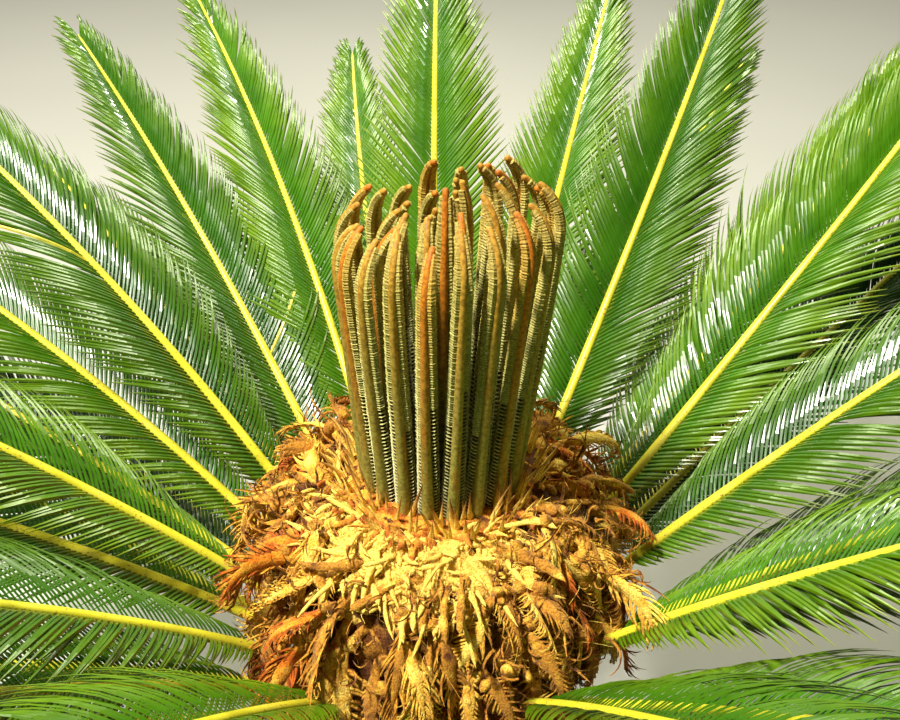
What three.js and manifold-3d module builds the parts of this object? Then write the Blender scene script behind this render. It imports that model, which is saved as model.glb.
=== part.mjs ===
// Female sago palm (Cycas revoluta), rooted in the ground, with a flush of unopened young fronds.
// Millimetres, +Z up, +X to the right and +Y away from the viewer. The origin is the centre of the
// trunk's flat cut at ground level. Angles are in degrees, and an azimuth runs from +Y towards +X.
import * as THREE from "three";
import { mergeVertices } from "three/addons/utils/BufferGeometryUtils.js";
import Module from "manifold-3d";

const wasm = await Module();
wasm.setup();

const CLEAR = 0.3; // gap between two pieces that touch on the plant
const UP = new THREE.Vector3(0, 0, 1);

// The trunk's axis curves up to BEND_LENGTH and runs straight on to the growing tip at AXIS_LENGTH.
const AXIS_LENGTH = 720;
const BEND_LENGTH = 400;
const LEAN = 1; // of the straight part, towards +X
const TRUNK_SIDES = 30;
// Radius of the trunk by distance along its axis, from the root flare up to the shoulder.
const TRUNK_RADII = [
  [0, 168], [28, 150], [75, 136], [150, 129], [380, 127], [424, 118],
  [452, 113], [482, 108], [508, 101], [526, 98], [680, 92],
];
// Between these distances old leaf bases stand out at every other corner, row by row in turn.
const BASES_FROM = 45;
const BASES_TO = 405;
const BASE_ROW = 36;
const BASE_RELIEF = 15;

// Everything above the trunk is placed from the growing tip, with heights below it negative.
const CUSHION_PROFILE = [[0, -39.7], [90, -39.7], [96, -24], [96, -10], [90, 3], [82, 6], [78, -6], [0, -6]];
const CUSHION_SIDES = 30;

// Young fronds stand in three rings, a few to a group, in a common foot of ring shape.
const YOUNG_FLOOR = -5.7;
const YOUNG_RINGS = [
  { name: "outer", radius: 62, groups: 5, each: 4, lean: 5.7, turn: 60, height: 272, foot: [52, 73] },
  { name: "middle", radius: 40, groups: 3, each: 4, lean: 3.6, turn: 54, height: 275, foot: [30, 50.5] },
  { name: "inner", radius: 15, groups: 1, each: 5, lean: 0.8, turn: 18, height: 280, foot: [5, 27] },
];
const FOOT_HEIGHT = 16;
const FOOT_STEPS = 6;
const FOOT_GAP = 0.7; // angle left free at each end of a group's foot
const YOUNG_HEIGHT_SPREAD = 9;
const YOUNG_SIDE_RISE = 16; // taller towards the right, as the photo shows
const YOUNG_TALL_SIDE = 110; // azimuth of the tallest
const YOUNG_TWIST = 15;
const YOUNG_THICK = 14; // from the back of the rachis to the coiled leaflets
const YOUNG_WIDE = 12;
const YOUNG_TAPER = [0.1, 0.4]; // share lost up the straight part, and then along the hook
const YOUNG_STEPS = 3;
const HOOK_LENGTH = 52;
const HOOK_STEPS = 4;

// The seed head is a dome of woolly scale leaves round the tip, over the stalks of the fronds.
const HEAD_SECTORS = 6;
const HEAD_GAP = 1.2; // angle left free at each end of a sector
const HEAD_TOP_PROFILE = [[99, -12], [118, -16], [142, -34], [164, -66], [171, -88], [166, -100]];
const HEAD_INNER_HEIGHTS = [-172, -42];
const HEAD_STEPS = 6;
const HEAD_CUSHION_EDGE = -8;
// Rows of scale leaves: where they root on the dome, and how far out and up their tips stand.
const SCALE_ROWS = [
  { radius: 112, height: -20, out: 26, rise: 22, count: 4, halfWidth: 11 },
  { radius: 136, height: -34, out: 44, rise: 6, count: 5, halfWidth: 11 },
  { radius: 150, height: -56, out: 54, rise: -22, count: 6, halfWidth: 10 },
  { radius: 158, height: -84, out: 50, rise: -46, count: 7, halfWidth: 8 },
  { radius: 156, height: -98, out: 42, rise: -112, count: 7, halfWidth: 8 },
];
const SCALE_HALF_THICK = 4.5;
const SCALE_WAIST = 0.55; // share of its length where a scale leaf is widest
const SCALE_SUNK = 14;
const SCALE_SWAY = 4;
const SCALE_GROWN = [0.88, 1.12];
const SCALE_EDGE = 0.1; // share of a sector kept free of leaves at each end
const SCALE_SHIFTS = [0, 0.25, -0.25, 0.5, -0.5]; // of a leaf's share of the row, tried until clear

// Mature fronds. Each ring has its root height, and the pitch, arch per metre and length of its
// fronds. Each frond is [azimuth, sideways sweep per metre], with its own length where its tip shows.
const FROND_RINGS = [
  { name: "upper", rootHeight: -194, pitch: 47, arch: 28, length: 850, lengthSpread: 60,
    fronds: [[-150, 1], [-124, 0], [-94, -1], [-56, -7], [-2, 3], [35, -16], [65, -24], [88, -4],
      [119, -3], [152, 2], [176, -2], [-171, 3]] },
  { name: "middle", rootHeight: -212, pitch: 41, arch: 28, length: 840, lengthSpread: 50,
    fronds: [[-128, 0], [-98, -2], [-65, -7], [-36, 0, 745], [-21, -8, 790], [17, -3], [54, -17],
      [103, 2], [136, 0], [163, -3], [-174, 2], [-161, 3]] },
  { name: "spreading", rootHeight: -240, pitch: 34, arch: 29, length: 800, lengthSpread: 60,
    fronds: [[-141, 3], [-112, 2], [-82, 0], [-70, -1], [-42, 0, 650], [-12, 9, 790], [27, 4], [60, -10],
      [95, 0], [126, 2], [148, -2], [-178, 0]] },
  { name: "lower", rootHeight: -282, pitch: 12, arch: 38, length: 740, lengthSpread: 50,
    fronds: [[-160, 0], [-103, 3], [-50, -3], [2, 3], [44, -3], [110, 3], [160, -3]] },
];
// On the side of +X the fronds stand steeper, straighter and shorter in arch.
const SIDE_PITCH = 3;
const SIDE_ARCH = -10;
const RIB_HALF_WIDTH = [6, 1.6]; // at the root and at the tip
const RIB_HALF_THICK = [5, 1.5];
const STALK_SHARE = 0.15; // bare part of a frond's length
const STALK_SEGMENTS = 2;
const LEAFLET_PAIRS = 16;
// Length by share of the blade, and angle to the rib by share of the frond.
const LEAFLET_LENGTHS = [[0, 25], [0.19, 126], [0.5, 126], [0.7, 108], [0.85, 82], [1, 48]];
const LEAFLET_ANGLES = [[0.15, 52], [0.4, 40], [0.6, 27], [0.8, 20], [1, 14]];
const LEAFLET_LIFT = 7; // above the plane of the rib
const LEAFLET_KEPT = [1, 0.82, 0.66, 0.5, 0.36, 0.24]; // shares tried until one is clear of all others
const LEAFLET_CLEAR = 5;
const RIB_CLEAR = 9;
const RIB_SLIVER = 0.2; // share of the half width that stands for the rib's middle line
const SAMPLES = 8; // along each line over a leaflet where its distance from others is taken

// Colours read from the photograph in plain words: bark brown, cream wool, tan scales, olive young
// fronds and bright green leaves.
const MATERIALS = {
  bark: material("bark", 0x5b4632, 0.95),
  wool: material("wool", 0xe2b765, 0.97),
  scales: material("scales", 0xc08a43, 0.95),
  young: material("young", 0x8f8450, 0.8),
  leaf: material("leaf", 0x4f9a1f, 0.42),
};

function material(name, color, roughness) {
  const made = new THREE.MeshStandardMaterial({ color, roughness, metalness: 0 });
  made.name = name;
  return made;
}

// Seeded random numbers, so that every build is the same.
function seeded(seed) {
  let state = seed >>> 0;
  return () => {
    state = (Math.imul(state, 1664525) + 1013904223) >>> 0;
    return state / 4294967296;
  };
}

function radians(degrees) {
  return (degrees * Math.PI) / 180;
}

function outward(azimuth) {
  return new THREE.Vector3(Math.sin(radians(azimuth)), Math.cos(radians(azimuth)), 0);
}

function clockwise(azimuth) {
  return new THREE.Vector3(Math.cos(radians(azimuth)), -Math.sin(radians(azimuth)), 0);
}

// Value at a place in a table of [place, value] rows, and the end values beyond it.
function interpolated(table, at) {
  const above = table.findIndex(([place]) => place >= at);
  if (above <= 0) {
    return table[above === 0 ? 0 : table.length - 1][1];
  }
  const [[from, low], [to, high]] = [table[above - 1], table[above]];
  return low + ((high - low) * (at - from)) / (to - from);
}

function add(point, ...steps) {
  const sum = point.clone();
  for (const [direction, length] of steps) {
    sum.addScaledVector(direction, length);
  }
  return sum;
}

function geometryFrom(points, triangles) {
  const geometry = new THREE.BufferGeometry();
  geometry.setAttribute("position", new THREE.Float32BufferAttribute(points.flatMap((p) => p.toArray()), 3));
  geometry.setIndex(triangles.flat());
  return geometry;
}

// Rings of equal count, each anticlockwise when seen from the end, become one closed solid. Its
// four-cornered faces are halved from the first corner, or from the second where crossed says so.
function loft(rings, crossed = () => false) {
  const count = rings[0].length;
  const triangles = [];
  for (let ring = 0; ring + 1 < rings.length; ring += 1) {
    for (let side = 0; side < count; side += 1) {
      const next = (side + 1) % count;
      const low = ring * count;
      const high = low + count;
      const corners = [low + side, low + next, high + next, high + side];
      const [a, b, c, d] = crossed(ring, side) ? [...corners.slice(1), corners[0]] : corners;
      triangles.push([a, b, c], [a, c, d]);
    }
  }
  const last = (rings.length - 1) * count;
  for (let side = 1; side + 1 < count; side += 1) {
    triangles.push([0, side + 1, side], [last, last + side, last + side + 1]);
  }
  return geometryFrom(rings.flat(), triangles);
}

function toManifold(geometry) {
  const bare = geometry.clone();
  bare.deleteAttribute("normal");
  bare.deleteAttribute("uv");
  const merged = mergeVertices(bare, 1e-4);
  return new wasm.Manifold(new wasm.Mesh({
    numProp: 3,
    vertProperties: new Float32Array(merged.attributes.position.array),
    triVerts: new Uint32Array(merged.index.array),
  }));
}

function fuse(geometries) {
  let whole = toManifold(geometries[0]);
  for (const geometry of geometries.slice(1)) {
    whole = whole.add(toManifold(geometry));
  }
  const mesh = whole.getMesh();
  const fused = new THREE.BufferGeometry();
  fused.setAttribute("position", new THREE.BufferAttribute(mesh.vertProperties, 3));
  fused.setIndex(new THREE.BufferAttribute(mesh.triVerts, 1));
  return fused;
}

function piece(name, geometry, kind) {
  const mesh = new THREE.Mesh(geometry, MATERIALS[kind]);
  mesh.name = name;
  return mesh;
}

// Trunk

function axisFrame(distance) {
  const bendRadius = BEND_LENGTH / radians(LEAN);
  const angle = radians(LEAN) * Math.min(distance / BEND_LENGTH, 1);
  const straight = Math.max(distance - BEND_LENGTH, 0);
  const along = new THREE.Vector3(Math.sin(angle), 0, Math.cos(angle));
  const across = new THREE.Vector3(Math.cos(angle), 0, -Math.sin(angle));
  const point = new THREE.Vector3(bendRadius * (1 - Math.cos(angle)), 0, bendRadius * Math.sin(angle));
  return { point: add(point, [along, straight]), across };
}

function trunkRadius(distance) {
  return interpolated(TRUNK_RADII, distance);
}

function trunkGeometry() {
  const back = new THREE.Vector3(0, 1, 0);
  const plain = TRUNK_RADII.map(([distance]) => distance).filter((d) => d < BASES_FROM || d > BASES_TO);
  const rows = [];
  for (let distance = BASES_FROM; distance <= BASES_TO; distance += BASE_ROW) {
    rows.push(distance);
  }
  const inTurn = (ring, side) => (ring + side) % 2 === 0;
  const rings = [...plain, ...rows].sort((a, b) => a - b).map((distance, ring) => {
    const { point, across } = axisFrame(distance);
    return Array.from({ length: TRUNK_SIDES }, (_, side) => {
      const relief = rows.includes(distance) && inTurn(ring, side) ? BASE_RELIEF : 0;
      const radius = trunkRadius(distance) + relief;
      const angle = (2 * Math.PI * side) / TRUNK_SIDES;
      return add(point, [across, radius * Math.cos(angle)], [back, radius * Math.sin(angle)]);
    });
  });
  return loft(rings, inTurn);
}

// Woolly cushion

function cushionGeometry() {
  const profile = CUSHION_PROFILE.map(([radius, height]) => new THREE.Vector2(radius, height));
  const lathe = new THREE.LatheGeometry(profile, CUSHION_SIDES);
  return lathe.rotateX(Math.PI / 2);
}

// Young fronds

function footGeometry(ring, from, to) {
  const [inner, outer] = ring.foot;
  const edge = [];
  for (let step = 0; step <= FOOT_STEPS; step += 1) {
    edge.push(outward(from + ((to - from) * step) / FOOT_STEPS));
  }
  const corners = [
    ...edge.map((direction) => new THREE.Vector2(direction.x, direction.y).multiplyScalar(outer)),
    ...edge.reverse().map((direction) => new THREE.Vector2(direction.x, direction.y).multiplyScalar(inner)),
  ];
  const shape = new THREE.Shape(corners);
  const block = new THREE.ExtrudeGeometry(shape, { depth: FOOT_HEIGHT, bevelEnabled: false });
  return block.translate(0, 0, YOUNG_FLOOR);
}

// A young frond leans out, runs straight and then turns in over the middle.
function youngFrondGeometry(ring, azimuth, height, twist) {
  const out = outward(azimuth);
  const hookOut = outward(azimuth + twist);
  const sideways = clockwise(azimuth);
  const hookRise = (HOOK_LENGTH * Math.sin(radians(ring.turn))) / radians(ring.turn);
  const straight = height - FOOT_HEIGHT / 2 - hookRise;
  let point = add(new THREE.Vector3(), [out, ring.radius], [UP, YOUNG_FLOOR + FOOT_HEIGHT / 2]);
  const rings = [];
  for (let step = 0; step <= YOUNG_STEPS + HOOK_STEPS; step += 1) {
    const inHook = Math.max(step - YOUNG_STEPS, 0) / HOOK_STEPS;
    const tilt = radians(ring.lean - ring.turn * inHook);
    const heading = inHook > 0 ? hookOut : out;
    const along = add(new THREE.Vector3(), [heading, Math.sin(tilt)], [UP, Math.cos(tilt)]);
    if (step > 0) {
      const length = inHook > 0 ? HOOK_LENGTH / HOOK_STEPS : straight / YOUNG_STEPS;
      point = add(point, [along, length]);
    }
    const taper = 1 - YOUNG_TAPER[0] * Math.min(step / YOUNG_STEPS, 1) - YOUNG_TAPER[1] * inHook;
    const backward = new THREE.Vector3().crossVectors(sideways, along).normalize();
    const thick = (YOUNG_THICK / 2) * taper;
    const wide = (YOUNG_WIDE / 2) * taper;
    rings.push([
      add(point, [sideways, wide], [backward, thick]),
      add(point, [sideways, wide], [backward, -thick]),
      add(point, [sideways, -wide], [backward, -thick]),
      add(point, [sideways, -wide], [backward, thick]),
    ]);
  }
  return loft(rings);
}

function youngGroups() {
  const random = seeded(11);
  const groups = [];
  for (const ring of YOUNG_RINGS) {
    const span = 360 / ring.groups;
    for (let index = 0; index < ring.groups; index += 1) {
      const from = index * span + FOOT_GAP;
      const to = (index + 1) * span - FOOT_GAP;
      const parts = [footGeometry(ring, from, to)];
      for (let frond = 0; frond < ring.each; frond += 1) {
        const azimuth = from + ((to - from) * (frond + 0.5)) / ring.each;
        const sideRise = YOUNG_SIDE_RISE * Math.cos(radians(azimuth - YOUNG_TALL_SIDE));
        const height = ring.height + sideRise + YOUNG_HEIGHT_SPREAD * (2 * random() - 1);
        parts.push(youngFrondGeometry(ring, azimuth, height, YOUNG_TWIST * (2 * random() - 1)));
      }
      groups.push(piece(`young_fronds_${ring.name}_${index + 1}`, fuse(parts), "young"));
    }
  }
  return groups;
}

// Mature fronds

// A station holds the rib's centre and its forward, sideways and upward directions.
function ribStations(frond) {
  const { ring, azimuth, sweep, length } = frond;
  const side = Math.max(0, Math.sin(radians(azimuth)));
  const pitchAtRoot = ring.pitch + SIDE_PITCH * side;
  const arch = ring.arch + SIDE_ARCH * side;
  const rootDrop = RIB_HALF_THICK[0] / Math.cos(radians(pitchAtRoot));
  const rootRadius = trunkRadius(AXIS_LENGTH + ring.rootHeight - rootDrop) + CLEAR;
  const point = add(new THREE.Vector3(), [outward(azimuth), rootRadius], [UP, ring.rootHeight]);
  const stalk = length * STALK_SHARE;
  const blade = length - stalk;
  const distances = [];
  for (let step = 0; step < STALK_SEGMENTS; step += 1) {
    distances.push((stalk * step) / STALK_SEGMENTS);
  }
  for (let pair = 0; pair <= LEAFLET_PAIRS; pair += 1) {
    distances.push(stalk + (blade * pair) / LEAFLET_PAIRS);
  }
  const stations = [];
  let walked = 0;
  for (const distance of distances) {
    const middle = (walked + distance) / 2;
    point.addScaledVector(direction(middle), distance - walked);
    walked = distance;
    const share = distance / length;
    const forward = direction(distance);
    const sideways = new THREE.Vector3().crossVectors(forward, UP).normalize();
    stations.push({
      share,
      centre: point.clone(),
      forward,
      sideways,
      upward: new THREE.Vector3().crossVectors(sideways, forward).normalize(),
      halfWidth: THREE.MathUtils.lerp(...RIB_HALF_WIDTH, share),
      halfThick: THREE.MathUtils.lerp(...RIB_HALF_THICK, share),
    });
  }
  // The root ends on an upright face, parallel to the trunk's side.
  stations[0].upward = UP.clone();
  stations[0].halfThick = rootDrop;
  return stations;

  function direction(distance) {
    const pitch = radians(pitchAtRoot - (arch * distance) / 1000);
    const swing = azimuth + (sweep * distance) / 1000;
    return add(new THREE.Vector3(), [outward(swing), Math.cos(pitch)], [UP, Math.sin(pitch)]);
  }
}

function leafletLength(share) {
  return interpolated(LEAFLET_LENGTHS, (share - STALK_SHARE) / (1 - STALK_SHARE));
}

function edgePoint(station, side) {
  return add(station.centre, [station.sideways, side * station.halfWidth]);
}

// The middle plane of one leaflet: two points at the rib and its tip.
function leafletPlane(frond, segment, side, kept) {
  const near = frond.stations[segment];
  const far = frond.stations[segment + 1];
  const share = (near.share + far.share) / 2;
  const forwardAngle = radians(interpolated(LEAFLET_ANGLES, share));
  const lift = radians(LEAFLET_LIFT);
  const length = leafletLength(share) * kept;
  const a = edgePoint(near, side);
  const b = edgePoint(far, side);
  const root = a.clone().lerp(b, 0.5);
  const across = length * Math.sin(forwardAngle);
  const tip = add(
    root,
    [far.forward, length * Math.cos(forwardAngle)],
    [far.sideways, side * across * Math.cos(lift)],
    [far.upward, across * Math.sin(lift)],
  );
  return new THREE.Triangle(a, b, tip);
}

// Samples along the outline and the middle of a triangle.
function samples(triangle) {
  const middle = triangle.a.clone().lerp(triangle.b, 0.5);
  const found = [];
  for (const start of [triangle.a, triangle.b, middle]) {
    for (let step = 1; step <= SAMPLES; step += 1) {
      found.push(start.clone().lerp(triangle.c, step / SAMPLES));
    }
  }
  return found;
}

function obstacle(triangle, frond, clear) {
  const centre = triangle.getMidpoint(new THREE.Vector3());
  const reach = Math.max(...[triangle.a, triangle.b, triangle.c].map((corner) => corner.distanceTo(centre)));
  return { triangle, frond, clear, centre, reach, points: samples(triangle) };
}

function isClear(candidate, obstacles) {
  const nearest = new THREE.Vector3();
  for (const other of obstacles) {
    const clear = Math.max(candidate.clear, other.clear);
    if (other.frond === candidate.frond) {
      continue;
    }
    if (other.centre.distanceTo(candidate.centre) > other.reach + candidate.reach + clear) {
      continue;
    }
    for (const point of candidate.points) {
      if (other.triangle.closestPointToPoint(point, nearest).distanceTo(point) < clear) {
        return false;
      }
    }
    for (const point of other.points) {
      if (candidate.triangle.closestPointToPoint(point, nearest).distanceTo(point) < clear) {
        return false;
      }
    }
  }
  return true;
}

function plannedFronds() {
  const random = seeded(29);
  const fronds = [];
  for (const ring of FROND_RINGS) {
    ring.fronds.forEach(([azimuth, sweep, shownLength], index) => {
      const length = shownLength ?? ring.length + ring.lengthSpread * (2 * random() - 1);
      const frond = { name: `frond_${ring.name}_${index + 1}`, ring, azimuth, sweep, length };
      frond.stations = ribStations(frond);
      fronds.push(frond);
    });
  }
  return fronds;
}

function ribObstacles(fronds) {
  const found = [];
  for (const frond of fronds) {
    for (let segment = 0; segment + 1 < frond.stations.length; segment += 1) {
      const a = frond.stations[segment];
      const b = frond.stations[segment + 1];
      const strip = new THREE.Triangle(a.centre, edgePoint(a, RIB_SLIVER), b.centre);
      found.push(obstacle(strip, frond, RIB_CLEAR));
    }
  }
  return found;
}

// Each leaflet is tried at its full length, then shorter, and is left out where none is clear.
function growLeaflets(fronds, obstacles) {
  for (const frond of fronds) {
    frond.tips = new Map();
  }
  for (let segment = STALK_SEGMENTS; segment < STALK_SEGMENTS + LEAFLET_PAIRS; segment += 1) {
    for (const frond of fronds) {
      for (const side of [-1, 1]) {
        for (const kept of LEAFLET_KEPT) {
          const triangle = leafletPlane(frond, segment, side, kept);
          const candidate = obstacle(triangle, frond, LEAFLET_CLEAR);
          if (isClear(candidate, obstacles)) {
            obstacles.push(candidate);
            frond.tips.set(`${segment},${side}`, triangle.c);
            break;
          }
        }
      }
    }
  }
}

function frondGeometry(frond) {
  const { stations, tips } = frond;
  const points = [];
  for (const { centre, sideways, upward, halfWidth, halfThick } of stations) {
    for (const [side, up] of [[-1, 1], [1, 1], [1, -1], [-1, -1]]) {
      points.push(add(centre, [sideways, side * halfWidth], [upward, up * halfThick]));
    }
  }
  const triangles = [];
  const [leftTop, rightTop, rightLow, leftLow] = [0, 1, 2, 3];
  coverFace([leftTop, rightTop, rightLow, leftLow]);
  for (let segment = 0; segment + 1 < stations.length; segment += 1) {
    const near = 4 * segment;
    const far = near + 4;
    const faces = [
      [near + leftTop, far + leftTop, far + rightTop, near + rightTop],
      [near + leftLow, near + rightLow, far + rightLow, far + leftLow],
      [near + rightTop, far + rightTop, far + rightLow, near + rightLow],
      [near + leftLow, far + leftLow, far + leftTop, near + leftTop],
    ];
    faces.forEach((corners, face) => {
      const side = [0, 0, 1, -1][face];
      coverFace(corners, tips.get(`${segment},${side}`));
    });
  }
  const end = 4 * (stations.length - 1);
  const last = stations[stations.length - 1];
  const endTip = add(last.centre, [last.forward, leafletLength(1)]);
  coverFace([end + leftTop, end + leftLow, end + rightLow, end + rightTop], endTip);
  return geometryFrom(points, triangles);

  // A face, clockwise from outside, is closed flat, or drawn out to a point where a leaflet grows.
  function coverFace([a, b, c, d], tip) {
    if (!tip) {
      triangles.push([a, c, b], [a, d, c]);
      return;
    }
    const at = points.length;
    points.push(tip);
    triangles.push([a, at, b], [b, at, c], [c, at, d], [d, at, a]);
  }
}

// Seed head

function sweptSector(profile, from, to, steps) {
  const rings = [];
  for (let step = 0; step <= steps; step += 1) {
    const azimuth = to + ((from - to) * step) / steps;
    const out = outward(azimuth);
    rings.push(profile.map(([radius, height]) => add(new THREE.Vector3(), [out, radius], [UP, height])));
  }
  const count = profile.length;
  const side = loft(rings);
  const shape = profile.map(([radius, height]) => new THREE.Vector2(radius, height));
  const caps = THREE.ShapeUtils.triangulateShape(shape, []);
  const index = [...side.index.array].slice(0, 6 * count * steps);
  const last = count * steps;
  for (const [a, b, c] of caps) {
    index.push(a, b, c, last + a, last + c, last + b);
  }
  side.setIndex(index);
  return side;
}

function headProfile() {
  // The inner wall is faceted too, so its corners stand back until its flats are clear of the trunk.
  const flats = Math.cos(radians(180 / HEAD_SECTORS / HEAD_STEPS));
  const [innerLow, innerHigh] = HEAD_INNER_HEIGHTS;
  const trunkWall = [innerLow, innerHigh].map((height) => [
    (trunkRadius(AXIS_LENGTH + height) + CLEAR) / flats,
    height,
  ]);
  const cushionWall = (CUSHION_PROFILE[2][0] + CLEAR) / flats;
  return [...trunkWall, [cushionWall, innerHigh], [cushionWall, HEAD_CUSHION_EDGE], ...HEAD_TOP_PROFILE];
}

// A scale leaf is a slim eight-faced spindle from its root to its tip.
function scaleLeaf(root, tip, halfWidth, halfThick) {
  const along = tip.clone().sub(root).normalize();
  const across = new THREE.Vector3().crossVectors(along, UP).normalize();
  const normal = new THREE.Vector3().crossVectors(across, along);
  const waist = root.clone().lerp(tip, SCALE_WAIST);
  const points = [
    root,
    tip,
    add(waist, [across, halfWidth]),
    add(waist, [normal, halfThick]),
    add(waist, [across, -halfWidth]),
    add(waist, [normal, -halfThick]),
  ];
  const triangles = [];
  for (let corner = 0; corner < 4; corner += 1) {
    const here = 2 + corner;
    const next = 2 + ((corner + 1) % 4);
    triangles.push([0, here, next], [1, next, here]);
  }
  return geometryFrom(points, triangles);
}

function scalePlan(row, azimuth, grown, sway) {
  const out = outward(azimuth);
  const seat = add(new THREE.Vector3(), [out, row.radius], [UP, row.height]);
  const tip = add(seat, [out, row.out * grown], [UP, row.rise * grown], [clockwise(azimuth), sway]);
  const root = add(seat, [tip.clone().sub(seat).normalize(), -SCALE_SUNK]);
  const spine = new THREE.Triangle(seat, add(seat, [UP, 1]), tip);
  return { root, tip, space: obstacle(spine, null, row.halfWidth + 2 * SCALE_HALF_THICK) };
}

function headSectors(obstacles) {
  const random = seeded(5);
  const sectors = [];
  const span = 360 / HEAD_SECTORS;
  for (let index = 0; index < HEAD_SECTORS; index += 1) {
    const from = index * span + HEAD_GAP;
    const to = (index + 1) * span - HEAD_GAP;
    const parts = [sweptSector(headProfile(), from, to, HEAD_STEPS)];
    for (const row of SCALE_ROWS) {
      for (let leaf = 0; leaf < row.count; leaf += 1) {
        const grown = THREE.MathUtils.lerp(...SCALE_GROWN, random());
        const sway = SCALE_SWAY * (2 * random() - 1);
        const plans = SCALE_SHIFTS.map((shift) => {
          const share = THREE.MathUtils.clamp((leaf + 0.5 + shift) / row.count, SCALE_EDGE, 1 - SCALE_EDGE);
          return scalePlan(row, from + (to - from) * share, grown, sway);
        });
        const plan = plans.find(({ space }) => isClear(space, obstacles));
        if (plan) {
          parts.push(scaleLeaf(plan.root, plan.tip, row.halfWidth, SCALE_HALF_THICK));
        }
      }
    }
    sectors.push(piece(`seed_head_${index + 1}`, fuse(parts), "scales"));
  }
  return sectors;
}

// The whole plant

const fronds = plannedFronds();
const obstacles = ribObstacles(fronds);
growLeaflets(fronds, obstacles);

const crown = new THREE.Group();
crown.position.copy(axisFrame(AXIS_LENGTH).point);
crown.rotation.y = radians(LEAN);
crown.add(piece("wool_cushion", cushionGeometry(), "wool"));
crown.add(...youngGroups());
crown.add(...headSectors(obstacles));
crown.add(...fronds.map((frond) => piece(frond.name, frondGeometry(frond), "leaf")));

const group = new THREE.Group();
group.add(piece("trunk", trunkGeometry(), "bark"), crown);

export default group;
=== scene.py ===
import math

import bpy
import numpy as np
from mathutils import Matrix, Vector


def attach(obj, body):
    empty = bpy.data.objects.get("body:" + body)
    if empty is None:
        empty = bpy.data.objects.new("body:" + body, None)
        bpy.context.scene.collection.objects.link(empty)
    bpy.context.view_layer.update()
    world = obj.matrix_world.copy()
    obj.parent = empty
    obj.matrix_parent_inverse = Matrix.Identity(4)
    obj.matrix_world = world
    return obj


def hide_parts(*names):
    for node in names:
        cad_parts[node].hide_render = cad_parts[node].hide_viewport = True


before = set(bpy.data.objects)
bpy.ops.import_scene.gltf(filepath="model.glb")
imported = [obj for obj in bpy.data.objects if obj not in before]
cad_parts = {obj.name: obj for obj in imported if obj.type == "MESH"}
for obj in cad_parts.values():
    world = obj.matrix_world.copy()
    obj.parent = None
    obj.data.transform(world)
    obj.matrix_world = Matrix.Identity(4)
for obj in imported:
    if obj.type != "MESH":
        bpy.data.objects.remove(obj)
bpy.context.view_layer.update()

UP = np.array([0.0, 0.0, 1.0])

# The trunk's axis curves up to BEND_LENGTH and runs straight on to the growing tip.
AXIS_LENGTH = 0.720
BEND_LENGTH = 0.400
LEAN = math.radians(1)
TRUNK_RADII = np.array([
    [0.0, 0.168], [0.028, 0.150], [0.075, 0.136], [0.150, 0.129], [0.380, 0.127], [0.424, 0.118],
    [0.452, 0.113], [0.482, 0.108], [0.508, 0.101], [0.526, 0.098], [0.680, 0.092],
])

# Old leaf bases cover the trunk in the golden-angle spiral in which the leaves grew.
GOLDEN_ANGLE = 137.508
BASE_AREA = 0.00052
BASE_HALF_WIDTH = 0.0175
BASE_HALF_THICK = 0.0078
BASE_LENGTH = 0.027
BASE_PITCH = 46
BASE_SUNK = 0.006
BASE_SIZES = (0.82, 1.15)
BASE_SIZES_BY_HEIGHT = np.array([[0, 0.62], [0.03, 0.95], [0.5, 1.0]])
BASES_FROM = 0.012
BASES_TO = 0.515
# One leaf base: shares of its length, half width and half thickness, with a sunk cut end.
BASE_OUTLINE = np.array([
    [0.0, 1.0, 1.15], [0.35, 0.92, 1.1], [0.7, 0.74, 0.95], [0.96, 0.62, 0.86], [1.0, 0.50, 0.70],
    [0.94, 0.06, 0.06],
])
BARK_STEP = 0.006
BARK_TOP = 0.600
BARK_SIDES = 120
BARK_SUNK = 0.002

# Mature fronds: [azimuth, sideways sweep per metre], with a frond's own length where its tip shows.
FROND_RINGS = [
    {"name": "upper", "root": -0.194, "pitch": 47, "arch": 28, "length": 0.850, "spread": 0.060,
     "fronds": [[-150, 1], [-124, 0], [-94, -1], [-56, -7], [-2, 3], [35, -16], [65, -24], [88, -4],
                [119, -3], [152, 2], [176, -2], [-171, 3]]},
    {"name": "middle", "root": -0.212, "pitch": 41, "arch": 28, "length": 0.840, "spread": 0.050,
     "fronds": [[-128, 0], [-98, -2], [-65, -7], [-36, 0, 0.745], [-21, -8, 0.790], [17, -3],
                [54, -17], [103, 2], [136, 0], [163, -3], [-174, 2], [-161, 3]]},
    {"name": "spreading", "root": -0.240, "pitch": 34, "arch": 29, "length": 0.800, "spread": 0.060,
     "fronds": [[-141, 3], [-112, 2], [-82, 0], [-70, -1], [-42, 0, 0.650], [-12, 9, 0.790], [27, 4],
                [60, -10], [95, 0], [126, 2], [148, -2], [-178, 0]]},
    {"name": "lower", "root": -0.282, "pitch": 12, "arch": 38, "length": 0.740, "spread": 0.050,
     "fronds": [[-160, 0], [-103, 3], [-50, -3], [2, 3], [44, -3], [110, 3], [160, -3]]},
]
SIDE_PITCH = 3
SIDE_ARCH = -10
RIB_HALF_WIDTH = (0.0060, 0.0018)
RIB_HALF_THICK = (0.0050, 0.0013)
RIB_STATIONS = 73
RIB_SIDES = 8
STALK_SHARE = 0.15

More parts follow.
